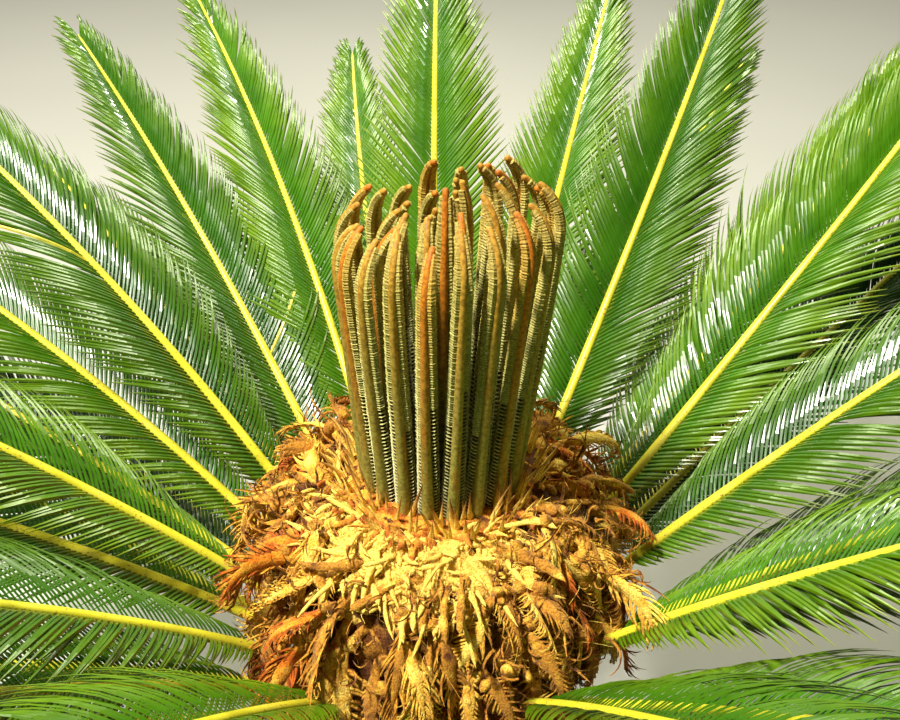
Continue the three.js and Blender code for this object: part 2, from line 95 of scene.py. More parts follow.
# Leaflets lie ever closer to the rib towards the frond's tip: [share of its length, angle to it].
# Each starts raised above the rib and arches over.
LEAFLET_SPACING = 0.0051
LEAFLET_END_GAP = 0.001
LEAFLET_LENGTHS = np.array([
    [0, 0.025], [0.19, 0.124], [0.5, 0.124], [0.7, 0.106], [0.85, 0.080], [1, 0.046],
])
LEAFLET_HALF_WIDTH = 0.0019
LEAFLET_POINT = 0.00012
LEAFLET_RIDGE = 0.6
LEAFLET_ANGLES = np.array([[0.15, 53], [0.40, 41], [0.60, 28], [0.80, 21], [1.0, 14]])
LEAFLET_CURVE = 6
LEAFLET_ROOT_LIFT = 26
LEAFLET_TIP_LIFT = -24
LEAFLET_TILT = 18
LEAFLET_SEGMENTS = 7
YELLOW_SHARE = 0.0012
# How uneven leaflets are. A few stray further than the rest, and all do near the frond's tip.
STRAY_SHARE = 0.05
STRAY_FACTOR = 3.0
STRAY_ROOT = 0.08
STRAY_ANGLE = 0.9
STRAY_TIP_FROM = 0.8
STRAY_TIP_ANGLE = 4
STRAY_LIFT = 1.2
STRAY_LENGTH = 0.045
STRAY_TILT = 2

# Woolly brown foot of each frond, and the thorns on its bare stalk.
FOOT_LENGTH = 0.050
FOOT_HALF_WIDTH = 0.019
FOOT_HALF_THICK = 0.010
FOOT_SUNK = 0.006
FOOT_OVER_RIB = 0.0002
FOOT_STATIONS = 9
THORN_SPACING = 0.011
THORN_LENGTH = 0.0075
THORN_STRAY = 0.003
THORN_RADII = np.array([0.0014, 0.0009, 0.0001])

# Young fronds stand in three rings. Each has a round rachis outside, and two columns of coiled
# leaflets beside it: sizes by share of the frond's length.
YOUNG_FLOOR = -0.0057
YOUNG_START = 0.008
YOUNG_RINGS = [
    {"name": "outer", "radius": 0.062, "groups": 5, "each": 4, "lean": 5.7, "turn": 62,
     "height": 0.272, "fine": 1},
    {"name": "middle", "radius": 0.040, "groups": 3, "each": 4, "lean": 3.6, "turn": 56,
     "height": 0.275, "fine": 1.15},
    {"name": "inner", "radius": 0.015, "groups": 1, "each": 5, "lean": 0.8, "turn": 18,
     "height": 0.280, "fine": 1.3},
]
YOUNG_GROUP_GAP = 0.7
YOUNG_HEIGHT_SPREAD = 0.009
YOUNG_SIDE_RISE = 0.016
YOUNG_TALL_SIDE = 110
YOUNG_TWIST = 15
YOUNG_ROLL = 26
YOUNG_WAVE = 0.8
YOUNG_WAVE_RATE = 23
YOUNG_STATIONS = 240
HOOK_LENGTH = 0.052
RACHIS_RADIUS = np.array([[0, 0.0056], [0.25, 0.0044], [0.6, 0.0036], [0.85, 0.0030], [1, 0.0025]])
RACHIS_OUT = 0.0030
COIL_RADIUS = np.array([[0, 0.0034], [0.3, 0.0038], [0.6, 0.0041], [0.85, 0.0038], [1, 0.0026]])
COIL_OFFSET = np.array([[0, 0.0070], [0.3, 0.0058], [0.6, 0.0046], [0.85, 0.0038], [1, 0.0018]])
COIL_SIDES = 6
COIL_START = 0.006
COIL_STEP = 0.001
COIL_END_GAPS = (0.003, 0.006)
LOW_COIL_SHARES = (0.42, 0.66)
COIL_IN = 0.0006
COIL_SLANT = (1.0, 0.2)
# Outline of one coil along the column, as shares of its radius: thin rings with gaps low down,
# and close ribs with a fine line between them above, which fades towards the tip.
LOW_COIL_PITCH = 0.0038
LOW_COIL = np.array([0.25, 0.20, 0.80, 1.0])
HIGH_COIL_PITCH = 0.0023
HIGH_COIL = np.array([0.68, 0.96, 1.0])
COIL_FADE = np.array([[0.4, 0.0], [0.9, 0.8]])

# Slender scale leaves stand in the wool round the feet of the young fronds.
SPIKES = 230
SPIKE_RADII = (0.067, 0.091)
SPIKE_LENGTHS = (0.024, 0.048)
SPIKE_HALF_WIDTH = 0.0040
SPIKE_SEGMENTS = 6

# The seed head: rows of woolly scale leaves from the innermost. Each has the radius and height of its
# roots, its count, its pitch at the roots and at the tips, and the lengths of stalk and blade.
SCALE_KEYS = ("radius", "height", "count", "pitch", "stalk", "blade")
SCALE_ROWS = [
    (0.098, -0.004, 20, (38, -46), 0.014, 0.036),
    (0.108, -0.008, 27, (30, -52), 0.018, 0.042),
    (0.120, -0.018, 33, (18, -62), 0.022, 0.048),
    (0.131, -0.032, 36, (8, -76), 0.024, 0.054),
    (0.140, -0.050, 38, (-2, -88), 0.026, 0.060),
    (0.146, -0.072, 38, (-12, -96), 0.026, 0.062),
    (0.148, -0.096, 36, (-24, -102), 0.026, 0.062),
    (0.144, -0.120, 30, (-40, -102), 0.024, 0.060),
]
# How unevenly scale leaves grow.
SCALE_SIZES = (0.72, 1.16)
SCALE_HEIGHT_SPREAD = 0.008
SCALE_PITCH_OFF = (-3, 11)
SCALE_ARCH_SPREAD = 20
SCALE_SWING_SPREAD = 24
SCALE_CURVE_SPREAD = 55
SCALE_ROLL_SPREAD = 42
SCALE_STATIONS = 13
SCALE_SUNK = 0.010
SCALE_STALK_HALF_WIDTH = 0.0040
SCALE_HALF_WIDTH = 0.0070
SCALE_HALF_THICK = (0.0036, 0.0010)
FINGERS = 14
FINGER_LENGTH = 0.024
FINGER_HALF_WIDTH = 0.0012
FINGER_TAPER = np.array([1.0, 1.0, 0.85, 0.6, 0.12])
FINGER_SEGMENTS = len(FINGER_TAPER) - 1
FINGER_SIZES = (0.7, 1.2)
FINGER_ANGLES = (72, 38)
FINGER_ANGLE_SPREAD = 8
FINGER_CURVE = 38
FINGER_LIFT = 12
FINGER_CURL = (-55, 70)
FINGER_CURL_SPREAD = 22
LONGEST_BLADE = 0.062
KNOBS = 2
KNOB_RADII = (0.0042, 0.0068)
LOGS = 34
LOG_RADII = (0.090, 0.126)
LOG_HEIGHTS = np.array([[0.090, -0.004], [0.128, -0.026]])
LOG_LENGTHS = (0.034, 0.074)
LOG_HALF_THICKS = (0.0036, 0.0066)
# Stalks that show clearly in front: start, heading, length and half thickness.
LAID_STALKS = [
    ((0.030, -0.086, -0.006), 90, 0.080, 0.0080),
    ((-0.062, -0.098, -0.010), -118, 0.056, 0.0052),
]
# How much of each row of scale leaves has each of their three tones.
TONE_SHARES = (0.40, 0.42, 0.18)
# In front the wool is bare further out than elsewhere.
BARE_SIDE = -168
BARE_RADII = (0.090, 0.126)
# The head hangs out furthest to the front left.
HEAD_FAR_SIDE = -140
HEAD_REACH = (0.95, 1.12)
HEAD_CORE = np.array([
    [0.092, -0.030], [0.104, -0.020], [0.122, -0.030], [0.140, -0.050], [0.150, -0.076],
    [0.150, -0.104], [0.140, -0.132], [0.122, -0.156], [0.100, -0.172],
])

# Where curled strips lie over the upper scale leaves.
HEAD_TOP = np.array([[0.088, 0.006], [0.116, 0.006], [0.144, -0.016], [0.168, -0.050], [0.180, -0.090]])

# Woolly cushion round the foot of the young fronds.
CUSHION = np.array([
    [0.0, 0.002], [0.050, 0.004], [0.070, 0.006], [0.084, 0.004], [0.098, -0.003], [0.112, -0.010],
    [0.124, -0.020], [0.134, -0.034], [0.138, -0.050],
])
# Strands of pale wool lie on its bare front, and of red wool among the spikes.
TUFT_RADII = (0.086, 0.136)
TUFT_SIDES_SPREAD = 30
RED_TUFT_RADII = (0.070, 0.094)
RED_TUFT_SIDES_SPREAD = 70
RED_TUFT_HEIGHT = 0.005
TUFT_HALF_THICKS = (0.0016, 0.0042)
HAIR_SWING = 60
# Unevenness of surfaces, coarse and fine: depth, and the size over which it changes.
WOOL_LUMPS = ((0.0026, 0.020), (0.0012, 0.007))
BARK_LUMPS = ((0.0022, 0.020), (0.0012, 0.007))

# The camera stands as in the photograph: its place from the growing tip, and its downward pitch.
CAMERA_FROM_TIP = np.array([0.008, -0.833, 0.705])
CAMERA_PITCH = 35
CAMERA_LENS = 50
FLOOR_REACH = 9.0

# How far the colours of young fronds and spikes run into each other, as a share of their height.
RAGGED_EDGE = 0.22


# Directions and places

def unit(vectors):
    return vectors / np.linalg.norm(vectors, axis=-1, keepdims=True)


def outward(azimuth):
    turn = np.radians(azimuth)
    return np.stack([np.sin(turn), np.cos(turn), np.zeros_like(turn)], axis=-1)


def clockwise(azimuth):
    turn = np.radians(azimuth)
    return np.stack([np.cos(turn), -np.sin(turn), np.zeros_like(turn)], axis=-1)


def standing(azimuth, radius, height):
    """Places at an azimuth, a radius from the axis and a height."""
    return outward(azimuth) * np.asarray(radius)[..., None] + UP * np.asarray(height)[..., None]


def pitched(azimuth, pitch):
    rise = np.radians(pitch)[..., None]
    return outward(azimuth) * np.cos(rise) + UP * np.sin(rise)


def between(ends, share):
    return ends[0] + (ends[1] - ends[0]) * share


def middles(count):
    """The middle of each of a number of equal steps from 0 to 1."""
    return (np.arange(count) + 0.5) / count


def uneven(random, amount, *shape):
    """Factors round 1 that vary by an amount."""
    return 1 + amount * random.standard_normal(shape)


def on_outline(profile, share):
    """Radius and height at shares of the length of a turned shape's outline."""
    far = np.concatenate([[0], np.cumsum(np.hypot(*np.diff(profile, axis=0).T))])
    at = share * far[-1]
    return np.interp(at, far, profile[:, 0]), np.interp(at, far, profile[:, 1])


def walk(start, directions, lengths):
    """Places reached by going along each direction in turn, with the start as the first."""
    steps = directions * np.asarray(lengths)[..., None]
    first = np.zeros_like(steps[..., :1, :])
    return start[..., None, :] + np.concatenate([first, np.cumsum(steps, axis=-2)], axis=-2)


def directions_along(places, above):
    """Forward, sideways and upward at each station of each row of places."""
    forward = unit(np.gradient(places, axis=-2))
    sideways = unit(np.cross(forward, above))
    return forward, sideways, np.cross(sideways, forward)


def sample(rows, shares):
    """Values at shares of the way along each row of stations, for rows (row, station, xyz)."""
    at = shares * (rows.shape[1] - 1)
    low = np.clip(np.floor(at).astype(int), 0, rows.shape[1] - 2)
    part = (at - low)[..., None]
    if shares.ndim == 1:
        return rows[:, low] * (1 - part) + rows[:, low + 1] * part
    row = np.arange(rows.shape[0])[:, None]
    return rows[row, low] * (1 - part) + rows[row, low + 1] * part


def axis_point(distance):
    """Point of the trunk's axis at a distance from the ground, and the lean there."""
    lean = LEAN * min(distance / BEND_LENGTH, 1)
    bend_radius = BEND_LENGTH / LEAN
    straight = max(distance - BEND_LENGTH, 0)
    along = np.array([math.sin(lean), 0, math.cos(lean)])
    curved = np.array([bend_radius * (1 - math.cos(lean)), 0, bend_radius * math.sin(lean)])
    return curved + along * straight, lean


def trunk_radius(distance):
    return np.interp(distance, TRUNK_RADII[:, 0], TRUNK_RADII[:, 1])


TIP, _ = axis_point(AXIS_LENGTH)


def from_tip(points):
    """Crown points, measured from the growing tip along the leaning axis, in the plant's frame."""
    cos, sin = math.cos(LEAN), math.sin(LEAN)
    turn = np.array([[cos, 0, sin], [0, 1, 0], [-sin, 0, cos]])
    return points @ turn.T + TIP


def ripples(points, size, seed):
    """Smooth uneven values, mostly between -1 and 1, that change over about the given size."""
    random = np.random.default_rng(seed)
    count = 9
    waves = unit(random.standard_normal((count, 3))) * (2 * math.pi / size)
    waves = waves * random.uniform(0.5, 1.3, (count, 1))
    phases = random.uniform(0, 2 * math.pi, count)
    return np.sin(points @ waves.T + phases).sum(axis=-1) / math.sqrt(count)


def lumps(points, coarse, fine, seed):
    """Coarse and fine unevenness together, each given as its depth and its size."""
    return coarse[0] * ripples(points, coarse[1], seed) + fine[0] * ripples(points, fine[1], seed + 1)


class Seeded:
    """The part's own seeded numbers, so that each frond has the same length and twist."""

    def __init__(self, seed):
        self.state = seed

    def __call__(self):
        self.state = (self.state * 1664525 + 1013904223) % 2**32
        return self.state / 2**32


# Meshes

class Pile:
    """Rows of stations gathered for one joined mesh."""

    def __init__(self):
        self.points = []
        self.faces = []
        self.along = []
        self.total = 0

    def skin(self, points, closed=True, along=None):
        """Joins the stations of each row, for points (row, station, corner, xyz)."""
        number, stations, corners = points.shape[:3]
        here = np.arange(corners if closed else corners - 1)
        beside = (here + 1) % corners
        low = np.arange(stations - 1)[:, None] * corners
        high = low + corners
        faces = np.stack([low + here, high + here, high + beside, low + beside], axis=-1).reshape(-1, 4)
        starts = self.total + np.arange(number)[:, None, None] * (stations * corners)
        along = (np.linspace(0, 1, stations)[:, None] if along is None else along)[None]
        self.points.append(points.reshape(-1, 3))
        self.faces.append((faces[None] + starts).reshape(-1, 4))
        self.along.append(np.broadcast_to(along, (number, stations, corners)).ravel())
        self.total += number * stations * corners


def tubes(places, sideways, upward, half_wide, half_thick, sides):
    angle = 2 * np.pi * np.arange(sides) / sides
    wide = np.asarray(half_wide)[..., None, None]
    thick = np.asarray(half_thick)[..., None, None]
    across = wide * np.cos(angle)[:, None] * sideways[..., None, :]
    over = thick * np.sin(angle)[:, None] * upward[..., None, :]
    return places[..., None, :] + across + over


def blades(places, sideways, upward, half_wide, ridge):
    edge = np.asarray(half_wide)[..., None] * sideways
    crest = np.asarray(ridge)[..., None] * upward
    return np.stack([places - edge, places + crest, places + edge], axis=-2)


def make_piece(name, pile, material, crown=True, smooth=True):
    points = np.concatenate(pile.points)
    faces = np.concatenate(pile.faces).astype(np.int32)
    if crown:
        points = from_tip(points)
    mesh = bpy.data.meshes.new(name)
    mesh.vertices.add(len(points))
    mesh.vertices.foreach_set("co", points.astype(np.float32).ravel())
    mesh.loops.add(faces.size)
    mesh.loops.foreach_set("vertex_index", faces.ravel())
    mesh.polygons.add(len(faces))
    mesh.polygons.foreach_set("loop_start", np.arange(0, faces.size, 4, dtype=np.int32))
    mesh.polygons.foreach_set("use_smooth", np.full(len(faces), smooth))
    mesh.update(calc_edges=True)
    along = mesh.attributes.new("along", "FLOAT", "POINT")
    along.data.foreach_set("value", np.concatenate(pile.along).astype(np.float32))
    mesh.materials.append(material)
    piece = bpy.data.objects.new(name, mesh)
    bpy.context.scene.collection.objects.link(piece)
    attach(piece, "root")
    return piece


# Materials

class Nodes:
    """Short names for making a node material."""

    def __init__(self, name):
        self.material = bpy.data.materials.new(name)
        self.material.use_nodes = True
        self.tree = self.material.node_tree
        self.shader = self.tree.nodes["Principled BSDF"]
        self.place = self.add("ShaderNodeTexCoord").outputs["Object"]

    def add(self, kind, **values):
        node = self.tree.nodes.new(kind)
        for key, value in values.items():
            setattr(node, key, value)
        return node

    def put(self, value, socket):
        """Joins a source to a socket, or gives the socket a plain value."""
        if isinstance(value, bpy.types.NodeSocket):
            self.tree.links.new(value, socket)
        else:
            socket.default_value = value

    def noise(self, size, detail=3.0, stretch=None):
        place = self.place
        if stretch:
            scaled = self.add("ShaderNodeMapping")
            self.put(stretch, scaled.inputs["Scale"])
            self.put(place, scaled.inputs["Vector"])
            place = scaled.outputs["Vector"]
        node = self.add("ShaderNodeTexNoise")
        self.put(1 / size, node.inputs["Scale"])
        self.put(detail, node.inputs["Detail"])
        self.put(place, node.inputs["Vector"])
        return node.outputs["Fac"]

    def ramp(self, value, stops):
        node = self.add("ShaderNodeValToRGB")
        elements = node.color_ramp.elements
        while len(elements) < len(stops):
            elements.new(0.5)
        for element, (position, colour) in zip(elements, stops):
            element.position = position
            element.color = (*colour, 1)
        self.put(value, node.inputs["Fac"])
        return node.outputs["Color"]

    def mix(self, share, first, second, blend="MIX"):
        node = self.add("ShaderNodeMix", data_type="RGBA", blend_type=blend)
        for value, socket in ((share, 0), (first, 6), (second, 7)):
            self.put((*value, 1) if isinstance(value, tuple) else value, node.inputs[socket])
        return node.outputs[2]

    def spread(self, value, low, high, start=0.35, end=0.65):
        node = self.add("ShaderNodeMapRange")
        for name, number in (("From Min", start), ("From Max", end), ("To Min", low), ("To Max", high)):
            self.put(number, node.inputs[name])
        self.put(value, node.inputs["Value"])
        return node.outputs["Result"]

    def bump(self, height, depth, strength=1.0):
        node = self.add("ShaderNodeBump")
        self.put(depth, node.inputs["Distance"])
        self.put(strength, node.inputs["Strength"])
        self.put(height, node.inputs["Height"])
        self.set(Normal=node.outputs["Normal"])

    def set(self, **values):
        """Sources or plain values of the shader's own sockets."""
        for name, value in values.items():
            self.put(value, self.shader.inputs[name.replace("_", " ")])


def leaf_material(name, inner, outer, tip):
    nodes = Nodes(name)
    along = nodes.add("ShaderNodeAttribute", attribute_name="along").outputs["Fac"]
    grown = nodes.ramp(along, [(0.0, inner), (0.15, inner), (0.6, outer), (0.82, outer), (1.0, tip)])
    patches = nodes.ramp(nodes.noise(0.045), [(0.34, (0.72, 0.80, 0.66)), (0.66, (1.22, 1.14, 1.25))])
    nodes.set(Base_Color=nodes.mix(1.0, grown, patches, "MULTIPLY"),
              Roughness=nodes.spread(nodes.noise(0.03), 0.26, 0.42))
    nodes.bump(nodes.noise(0.0022), 0.0003, 0.35)
    nodes.set(Coat_Weight=0.9, Coat_Roughness=0.25, Specular_IOR_Level=0.15)
    return nodes.material


def rib_material():
    nodes = Nodes("rib_yellow")
    patches = nodes.ramp(nodes.noise(0.035), [
        (0.3, (0.46, 0.43, 0.015)), (0.55, (0.66, 0.60, 0.03)), (0.8, (0.74, 0.62, 0.07)),
    ])
    specks = nodes.spread(nodes.noise(0.0026, 2.0), 0.0, 1.0, 0.62, 0.70)
    nodes.set(Base_Color=nodes.mix(specks, patches, (0.30, 0.17, 0.03)),
              Roughness=nodes.spread(nodes.noise(0.02), 0.34, 0.5))
    nodes.bump(nodes.noise(0.003), 0.0004, 0.4)
    nodes.set(Coat_Weight=0.1, Coat_Roughness=0.3)
    return nodes.material


def wool_material(name, colours, patch=0.012, grain=0.0016, depth=0.0012, sheen=0.08, cleft_shade=0.5):
    """Matted wool or dry felted leaf: patches of colour, painted shade in the clefts and a fibrous
    bump.
    """
    nodes = Nodes(name)
    stops = [(0.30 + 0.40 * i / (len(colours) - 1), colour) for i, colour in enumerate(colours)]
    patches = nodes.ramp(nodes.noise(patch, 4.0), stops)
    grains = nodes.noise(grain, 4.0)
    # Painted shade: fine patches of the grain are darkened as the shaded clefts between fibres.
    shade = nodes.ramp(grains, [(0.36, (cleft_shade, cleft_shade * 0.8, cleft_shade * 0.6)), (0.56, (1.0, 1.0, 1.0))])
    nodes.bump(grains, depth, 0.9)
    nodes.set(Base_Color=nodes.mix(1.0, patches, shade, "MULTIPLY"),
              Roughness=nodes.spread(grains, 0.78, 0.98))
    nodes.set(Sheen_Weight=sheen, Sheen_Roughness=0.5, Specular_IOR_Level=0.15)
    return nodes.material


def by_height_material(name, stops, grain, depth, roughness, streaks=None, groove_shade=None):
    """Colour that changes with height above the growing tip, with streaks, or with painted shade
    darkening the grooves between coils.
    """
    nodes = Nodes(name)
    height = nodes.add("ShaderNodeSeparateXYZ")
    nodes.put(nodes.place, height.inputs["Vector"])
    low = TIP[2] + stops[0][0]
    high = TIP[2] + stops[-1][0]
    share = nodes.spread(height.outputs["Z"], 0.0, 1.0, low, high)
    ragged = nodes.add("ShaderNodeMath", operation="MULTIPLY_ADD")
    nodes.put(nodes.noise(0.012, 3.0, (1.0, 1.0, 0.25)), ragged.inputs[0])
    nodes.put(RAGGED_EDGE, ragged.inputs[1])
    nodes.put(share, ragged.inputs[2])
    shifted = nodes.add("ShaderNodeMath", operation="SUBTRACT")
    nodes.put(ragged.outputs[0], shifted.inputs[0])
    nodes.put(RAGGED_EDGE / 2, shifted.inputs[1])
    span = stops[-1][0] - stops[0][0]
    colour = nodes.ramp(shifted.outputs[0], [((at - stops[0][0]) / span, tone) for at, tone in stops])
    if streaks:
        lines = nodes.spread(nodes.noise(0.005, 3.0, (1.0, 1.0, 0.06)), 0.0, 0.75, 0.52, 0.66)
        colour = nodes.mix(lines, colour, streaks)
    # Painted shade: where a coil's outline sinks into a groove, the colour darkens towards the groove
    # shade.
    if groove_shade:
        outline = nodes.add("ShaderNodeAttribute", attribute_name="along").outputs["Fac"]
        colour = nodes.mix(nodes.spread(outline, 1.0, 0.0, 0.45, 0.92), colour, groove_shade)
    grains = nodes.noise(grain, 3.0)
    mottle = nodes.ramp(grains, [(0.38, (0.62, 0.58, 0.50)), (0.60, (1.08, 1.08, 1.08))])
    nodes.bump(grains, depth, 0.6)
    nodes.set(Base_Color=nodes.mix(1.0, colour, mottle, "MULTIPLY"),
              Roughness=nodes.spread(grains, *roughness), Specular_IOR_Level=0.3)
    return nodes.material


def floor_material():
    nodes = Nodes("floor_plain")
    tone = nodes.ramp(nodes.noise(1.5), [(0.3, (0.44, 0.43, 0.42)), (0.7, (0.49, 0.48, 0.47))])
    nodes.bump(nodes.noise(0.01), 0.0005, 0.2)
    nodes.set(Base_Color=tone, Roughness=0.9)
    return nodes.material


# Mature fronds

def planned_fronds():
    """The part's own fronds: the same azimuths, sweeps and lengths."""
    random = Seeded(29)
    fronds = []
    for ring in FROND_RINGS:
        for number, (azimuth, sweep, *shown) in enumerate(ring["fronds"], 1):
            length = shown[0] if shown else ring["length"] + ring["spread"] * (2 * random() - 1)
            fronds.append(rib_path(ring, number, azimuth, sweep, length))
    return fronds


def rib_path(ring, number, azimuth, sweep, length):
    side = max(0.0, math.sin(math.radians(azimuth)))
    pitch = ring["pitch"] + SIDE_PITCH * side
    arch = ring["arch"] + SIDE_ARCH * side
    drop = RIB_HALF_THICK[0] / math.cos(math.radians(pitch))
    root_radius = trunk_radius(AXIS_LENGTH + ring["root"] - drop)
    far = np.linspace(0, length, RIB_STATIONS)

    def direction(distance):
        return pitched(azimuth + sweep * distance, pitch - arch * distance)

    start = standing(azimuth, root_radius, ring["root"])
    places = walk(start, direction((far[1:] + far[:-1]) / 2), np.diff(far))
    forward = direction(far)
    sideways = unit(np.cross(forward, UP))
    return {
        "name": f"frond_{ring['name']}_{number}", "ring": ring["name"], "azimuth": azimuth,
        "length": length, "places": places, "forward": forward, "sideways": sideways,
        "upward": np.cross(sideways, forward),
    }


def leaflet_length(share):
    return np.interp((share - STALK_SHARE) / (1 - STALK_SHARE), *LEAFLET_LENGTHS.T)


def rib_at(frond, share):
    return [sample(frond[key][None], share)[0] for key in ("places", "forward", "sideways", "upward")]


def leaflet_half_width(reach):
    """Half width at shares of a leaflet's length: soon full, and then tapering to a point."""
    swell = np.minimum(1, 0.62 + reach / 0.3)
    taper = 1 - np.maximum(0, (reach - 0.45) / 0.55) ** 1.9
    return LEAFLET_HALF_WIDTH * swell * taper + LEAFLET_POINT


def grow_leaflets(frond, random, green, yellow):
    first = frond["length"] * STALK_SHARE
    for side in (-1, 1):
        roots = np.arange(first, frond["length"] - LEAFLET_END_GAP, LEAFLET_SPACING)
        roots = roots + LEAFLET_SPACING * random.uniform(-STRAY_ROOT, STRAY_ROOT, len(roots))
        share = np.clip(roots / frond["length"], 0, 1)
        place, forward, sideways, upward = rib_at(frond, share)
        count = len(share)
        off = random.standard_normal(count)
        off = off * np.where(random.random(count) < STRAY_SHARE, STRAY_FACTOR, 1.0)
        near_tip = np.clip((share - STRAY_TIP_FROM) / (1 - STRAY_TIP_FROM), 0, 1)
        off_angle = (STRAY_ANGLE + STRAY_TIP_ANGLE * near_tip) * off
        reach = np.linspace(0, 1, LEAFLET_SEGMENTS + 1)[None]

        def direction(at):
            angle = (np.interp(share, *LEAFLET_ANGLES.T) + off_angle)[:, None]
            angle = angle + LEAFLET_CURVE * (1 - 2 * at)
            lift = between((LEAFLET_ROOT_LIFT, LEAFLET_TIP_LIFT), at**0.85)
            lift = np.radians(lift + STRAY_LIFT * np.roll(off, 1)[:, None])[..., None]
            turn = np.radians(angle)[..., None]
            flat = forward[:, None] * np.cos(turn) + side * sideways[:, None] * np.sin(turn)
            return flat * np.cos(lift) + upward[:, None] * np.sin(lift)

        root = place + side * sideways * (between(RIB_HALF_WIDTH, share) * 0.9)[:, None]
        root = root + upward * (between(RIB_HALF_THICK, share) * 0.1)[:, None]
        length = leaflet_length(share) * (1 + STRAY_LENGTH * np.roll(off, 2))
        steps = direction(middles(LEAFLET_SEGMENTS)[None])
        places = walk(root, steps, (length / LEAFLET_SEGMENTS)[:, None])
        along = direction(reach)
        flat = forward[:, None] - along * np.sum(forward[:, None] * along, axis=-1, keepdims=True)
        edge = side * unit(flat)
        normal = np.cross(along, edge)
        tilt = np.radians(LEAFLET_TILT + STRAY_TILT * np.roll(off, 3))[:, None, None]
        across = edge * np.cos(tilt) + normal * np.sin(tilt) * side
        above = normal * np.cos(tilt) - edge * np.sin(tilt) * side
        width = leaflet_half_width(reach) * np.ones((count, 1))
        shape = blades(places, across, above, width, width * LEAFLET_RIDGE)
        faded = random.random(count) < YELLOW_SHARE
        green.skin(shape[~faded], closed=False)
        yellow.skin(shape[faded], closed=False)


def grow_rib(frond, ribs, feet, thorns, random):
    share = np.linspace(0, 1, RIB_STATIONS)
    wide = between(RIB_HALF_WIDTH, share)
    thick = between(RIB_HALF_THICK, share)
    wide[-1] = thick[-1] = 0.0003
    ribs.skin(tubes(frond["places"][None], frond["sideways"][None], frond["upward"][None],
                    wide, thick, RIB_SIDES))
    far = np.linspace(0, FOOT_LENGTH, FOOT_STATIONS)
    place, _, sideways, upward = rib_at(frond, far / frond["length"])
    place[0] = place[0] - outward(frond["azimuth"]) * FOOT_SUNK
    fade = (1 - far / FOOT_LENGTH) ** 1.5
    rough = uneven(random, 0.12, 1, FOOT_STATIONS)
    half_wide = (between((RIB_HALF_WIDTH[0], FOOT_HALF_WIDTH), fade) + FOOT_OVER_RIB) * rough
    half_thick = (between((RIB_HALF_THICK[0], FOOT_HALF_THICK), fade) + FOOT_OVER_RIB) * rough
    feet.skin(tubes(place[None], sideways[None], upward[None], half_wide, half_thick, 12))
    grow_thorns(frond, thorns, random)


def grow_thorns(frond, thorns, random):
    """Short thorns on both edges of the bare stalk, up to the first leaflets."""
    far = np.arange(FOOT_LENGTH * 0.8, frond["length"] * STALK_SHARE, THORN_SPACING)
    for side in (-1, 1):
        at = far + random.uniform(-THORN_STRAY, THORN_STRAY, len(far))
        place, forward, sideways, upward = rib_at(frond, np.clip(at / frond["length"], 0, 1))
        root = place + side * sideways * RIB_HALF_WIDTH[0] * 0.7 + upward * RIB_HALF_THICK[0] * 0.3
        heading = unit(side * sideways + 0.7 * forward + 0.35 * upward)
        length = THORN_LENGTH * (0.7 + 0.9 * far / far[-1])[:, None, None]
        share = np.linspace(0, 1, len(THORN_RADII))[None, :, None]
        places = root[:, None] + heading[:, None] * length * share
        across = np.broadcast_to(unit(np.cross(heading, upward))[:, None], places.shape)
        over = np.cross(across, heading[:, None])
        thorns.skin(tubes(places, across, over, THORN_RADII, THORN_RADII, 4))


# Young fronds

def young_fronds():
    random = Seeded(11)
    for ring in YOUNG_RINGS:
        span = 360 / ring["groups"]
        for group in range(ring["groups"]):
            start = group * span + YOUNG_GROUP_GAP
            width = span - 2 * YOUNG_GROUP_GAP
            for number in range(ring["each"]):
                azimuth = start + width * (number + 0.5) / ring["each"]
                rise = YOUNG_SIDE_RISE * math.cos(math.radians(azimuth - YOUNG_TALL_SIDE))
                height = ring["height"] + rise + YOUNG_HEIGHT_SPREAD * (2 * random() - 1)
                yield ring, azimuth, height, YOUNG_TWIST * (2 * random() - 1)


def young_lengths(ring, height):
    """Length of a young frond's straight part, and its whole length with the hook."""
    turn = math.radians(ring["turn"])
    straight = height - YOUNG_START - HOOK_LENGTH * math.sin(turn) / turn
    return straight, straight + HOOK_LENGTH


def young_path(young, far):
    """Places and directions of a young frond's axis at distances from its foot."""
    ring, azimuth, height, twist, roll = young
    straight, whole = young_lengths(ring, height)
    fine = np.linspace(0, whole, YOUNG_STATIONS)
    around = clockwise(azimuth)

    def heading(distance):
        in_hook = np.clip((distance - straight) / HOOK_LENGTH, 0, 1)
        wave = YOUNG_WAVE * np.sin(distance * YOUNG_WAVE_RATE + azimuth)
        tilt = ring["lean"] + wave - ring["turn"] * in_hook**1.3
        return pitched(azimuth + twist * np.clip(distance / straight, 0, 1) ** 4, 90 - tilt)

    start = standing(azimuth, ring["radius"], YOUNG_FLOOR + YOUNG_START)
    places = walk(start, heading((fine[1:] + fine[:-1]) / 2), np.diff(fine))
    forward = heading(far)
    sideways = unit(around - forward * (forward @ around)[:, None])
    backward = np.cross(forward, sideways)
    turn = np.radians(roll * np.clip(far / 0.1, 0, 1))[:, None]
    rolled = sideways * np.cos(turn) + backward * np.sin(turn)
    return sample(places[None], far / whole)[0], forward, rolled, np.cross(forward, rolled)


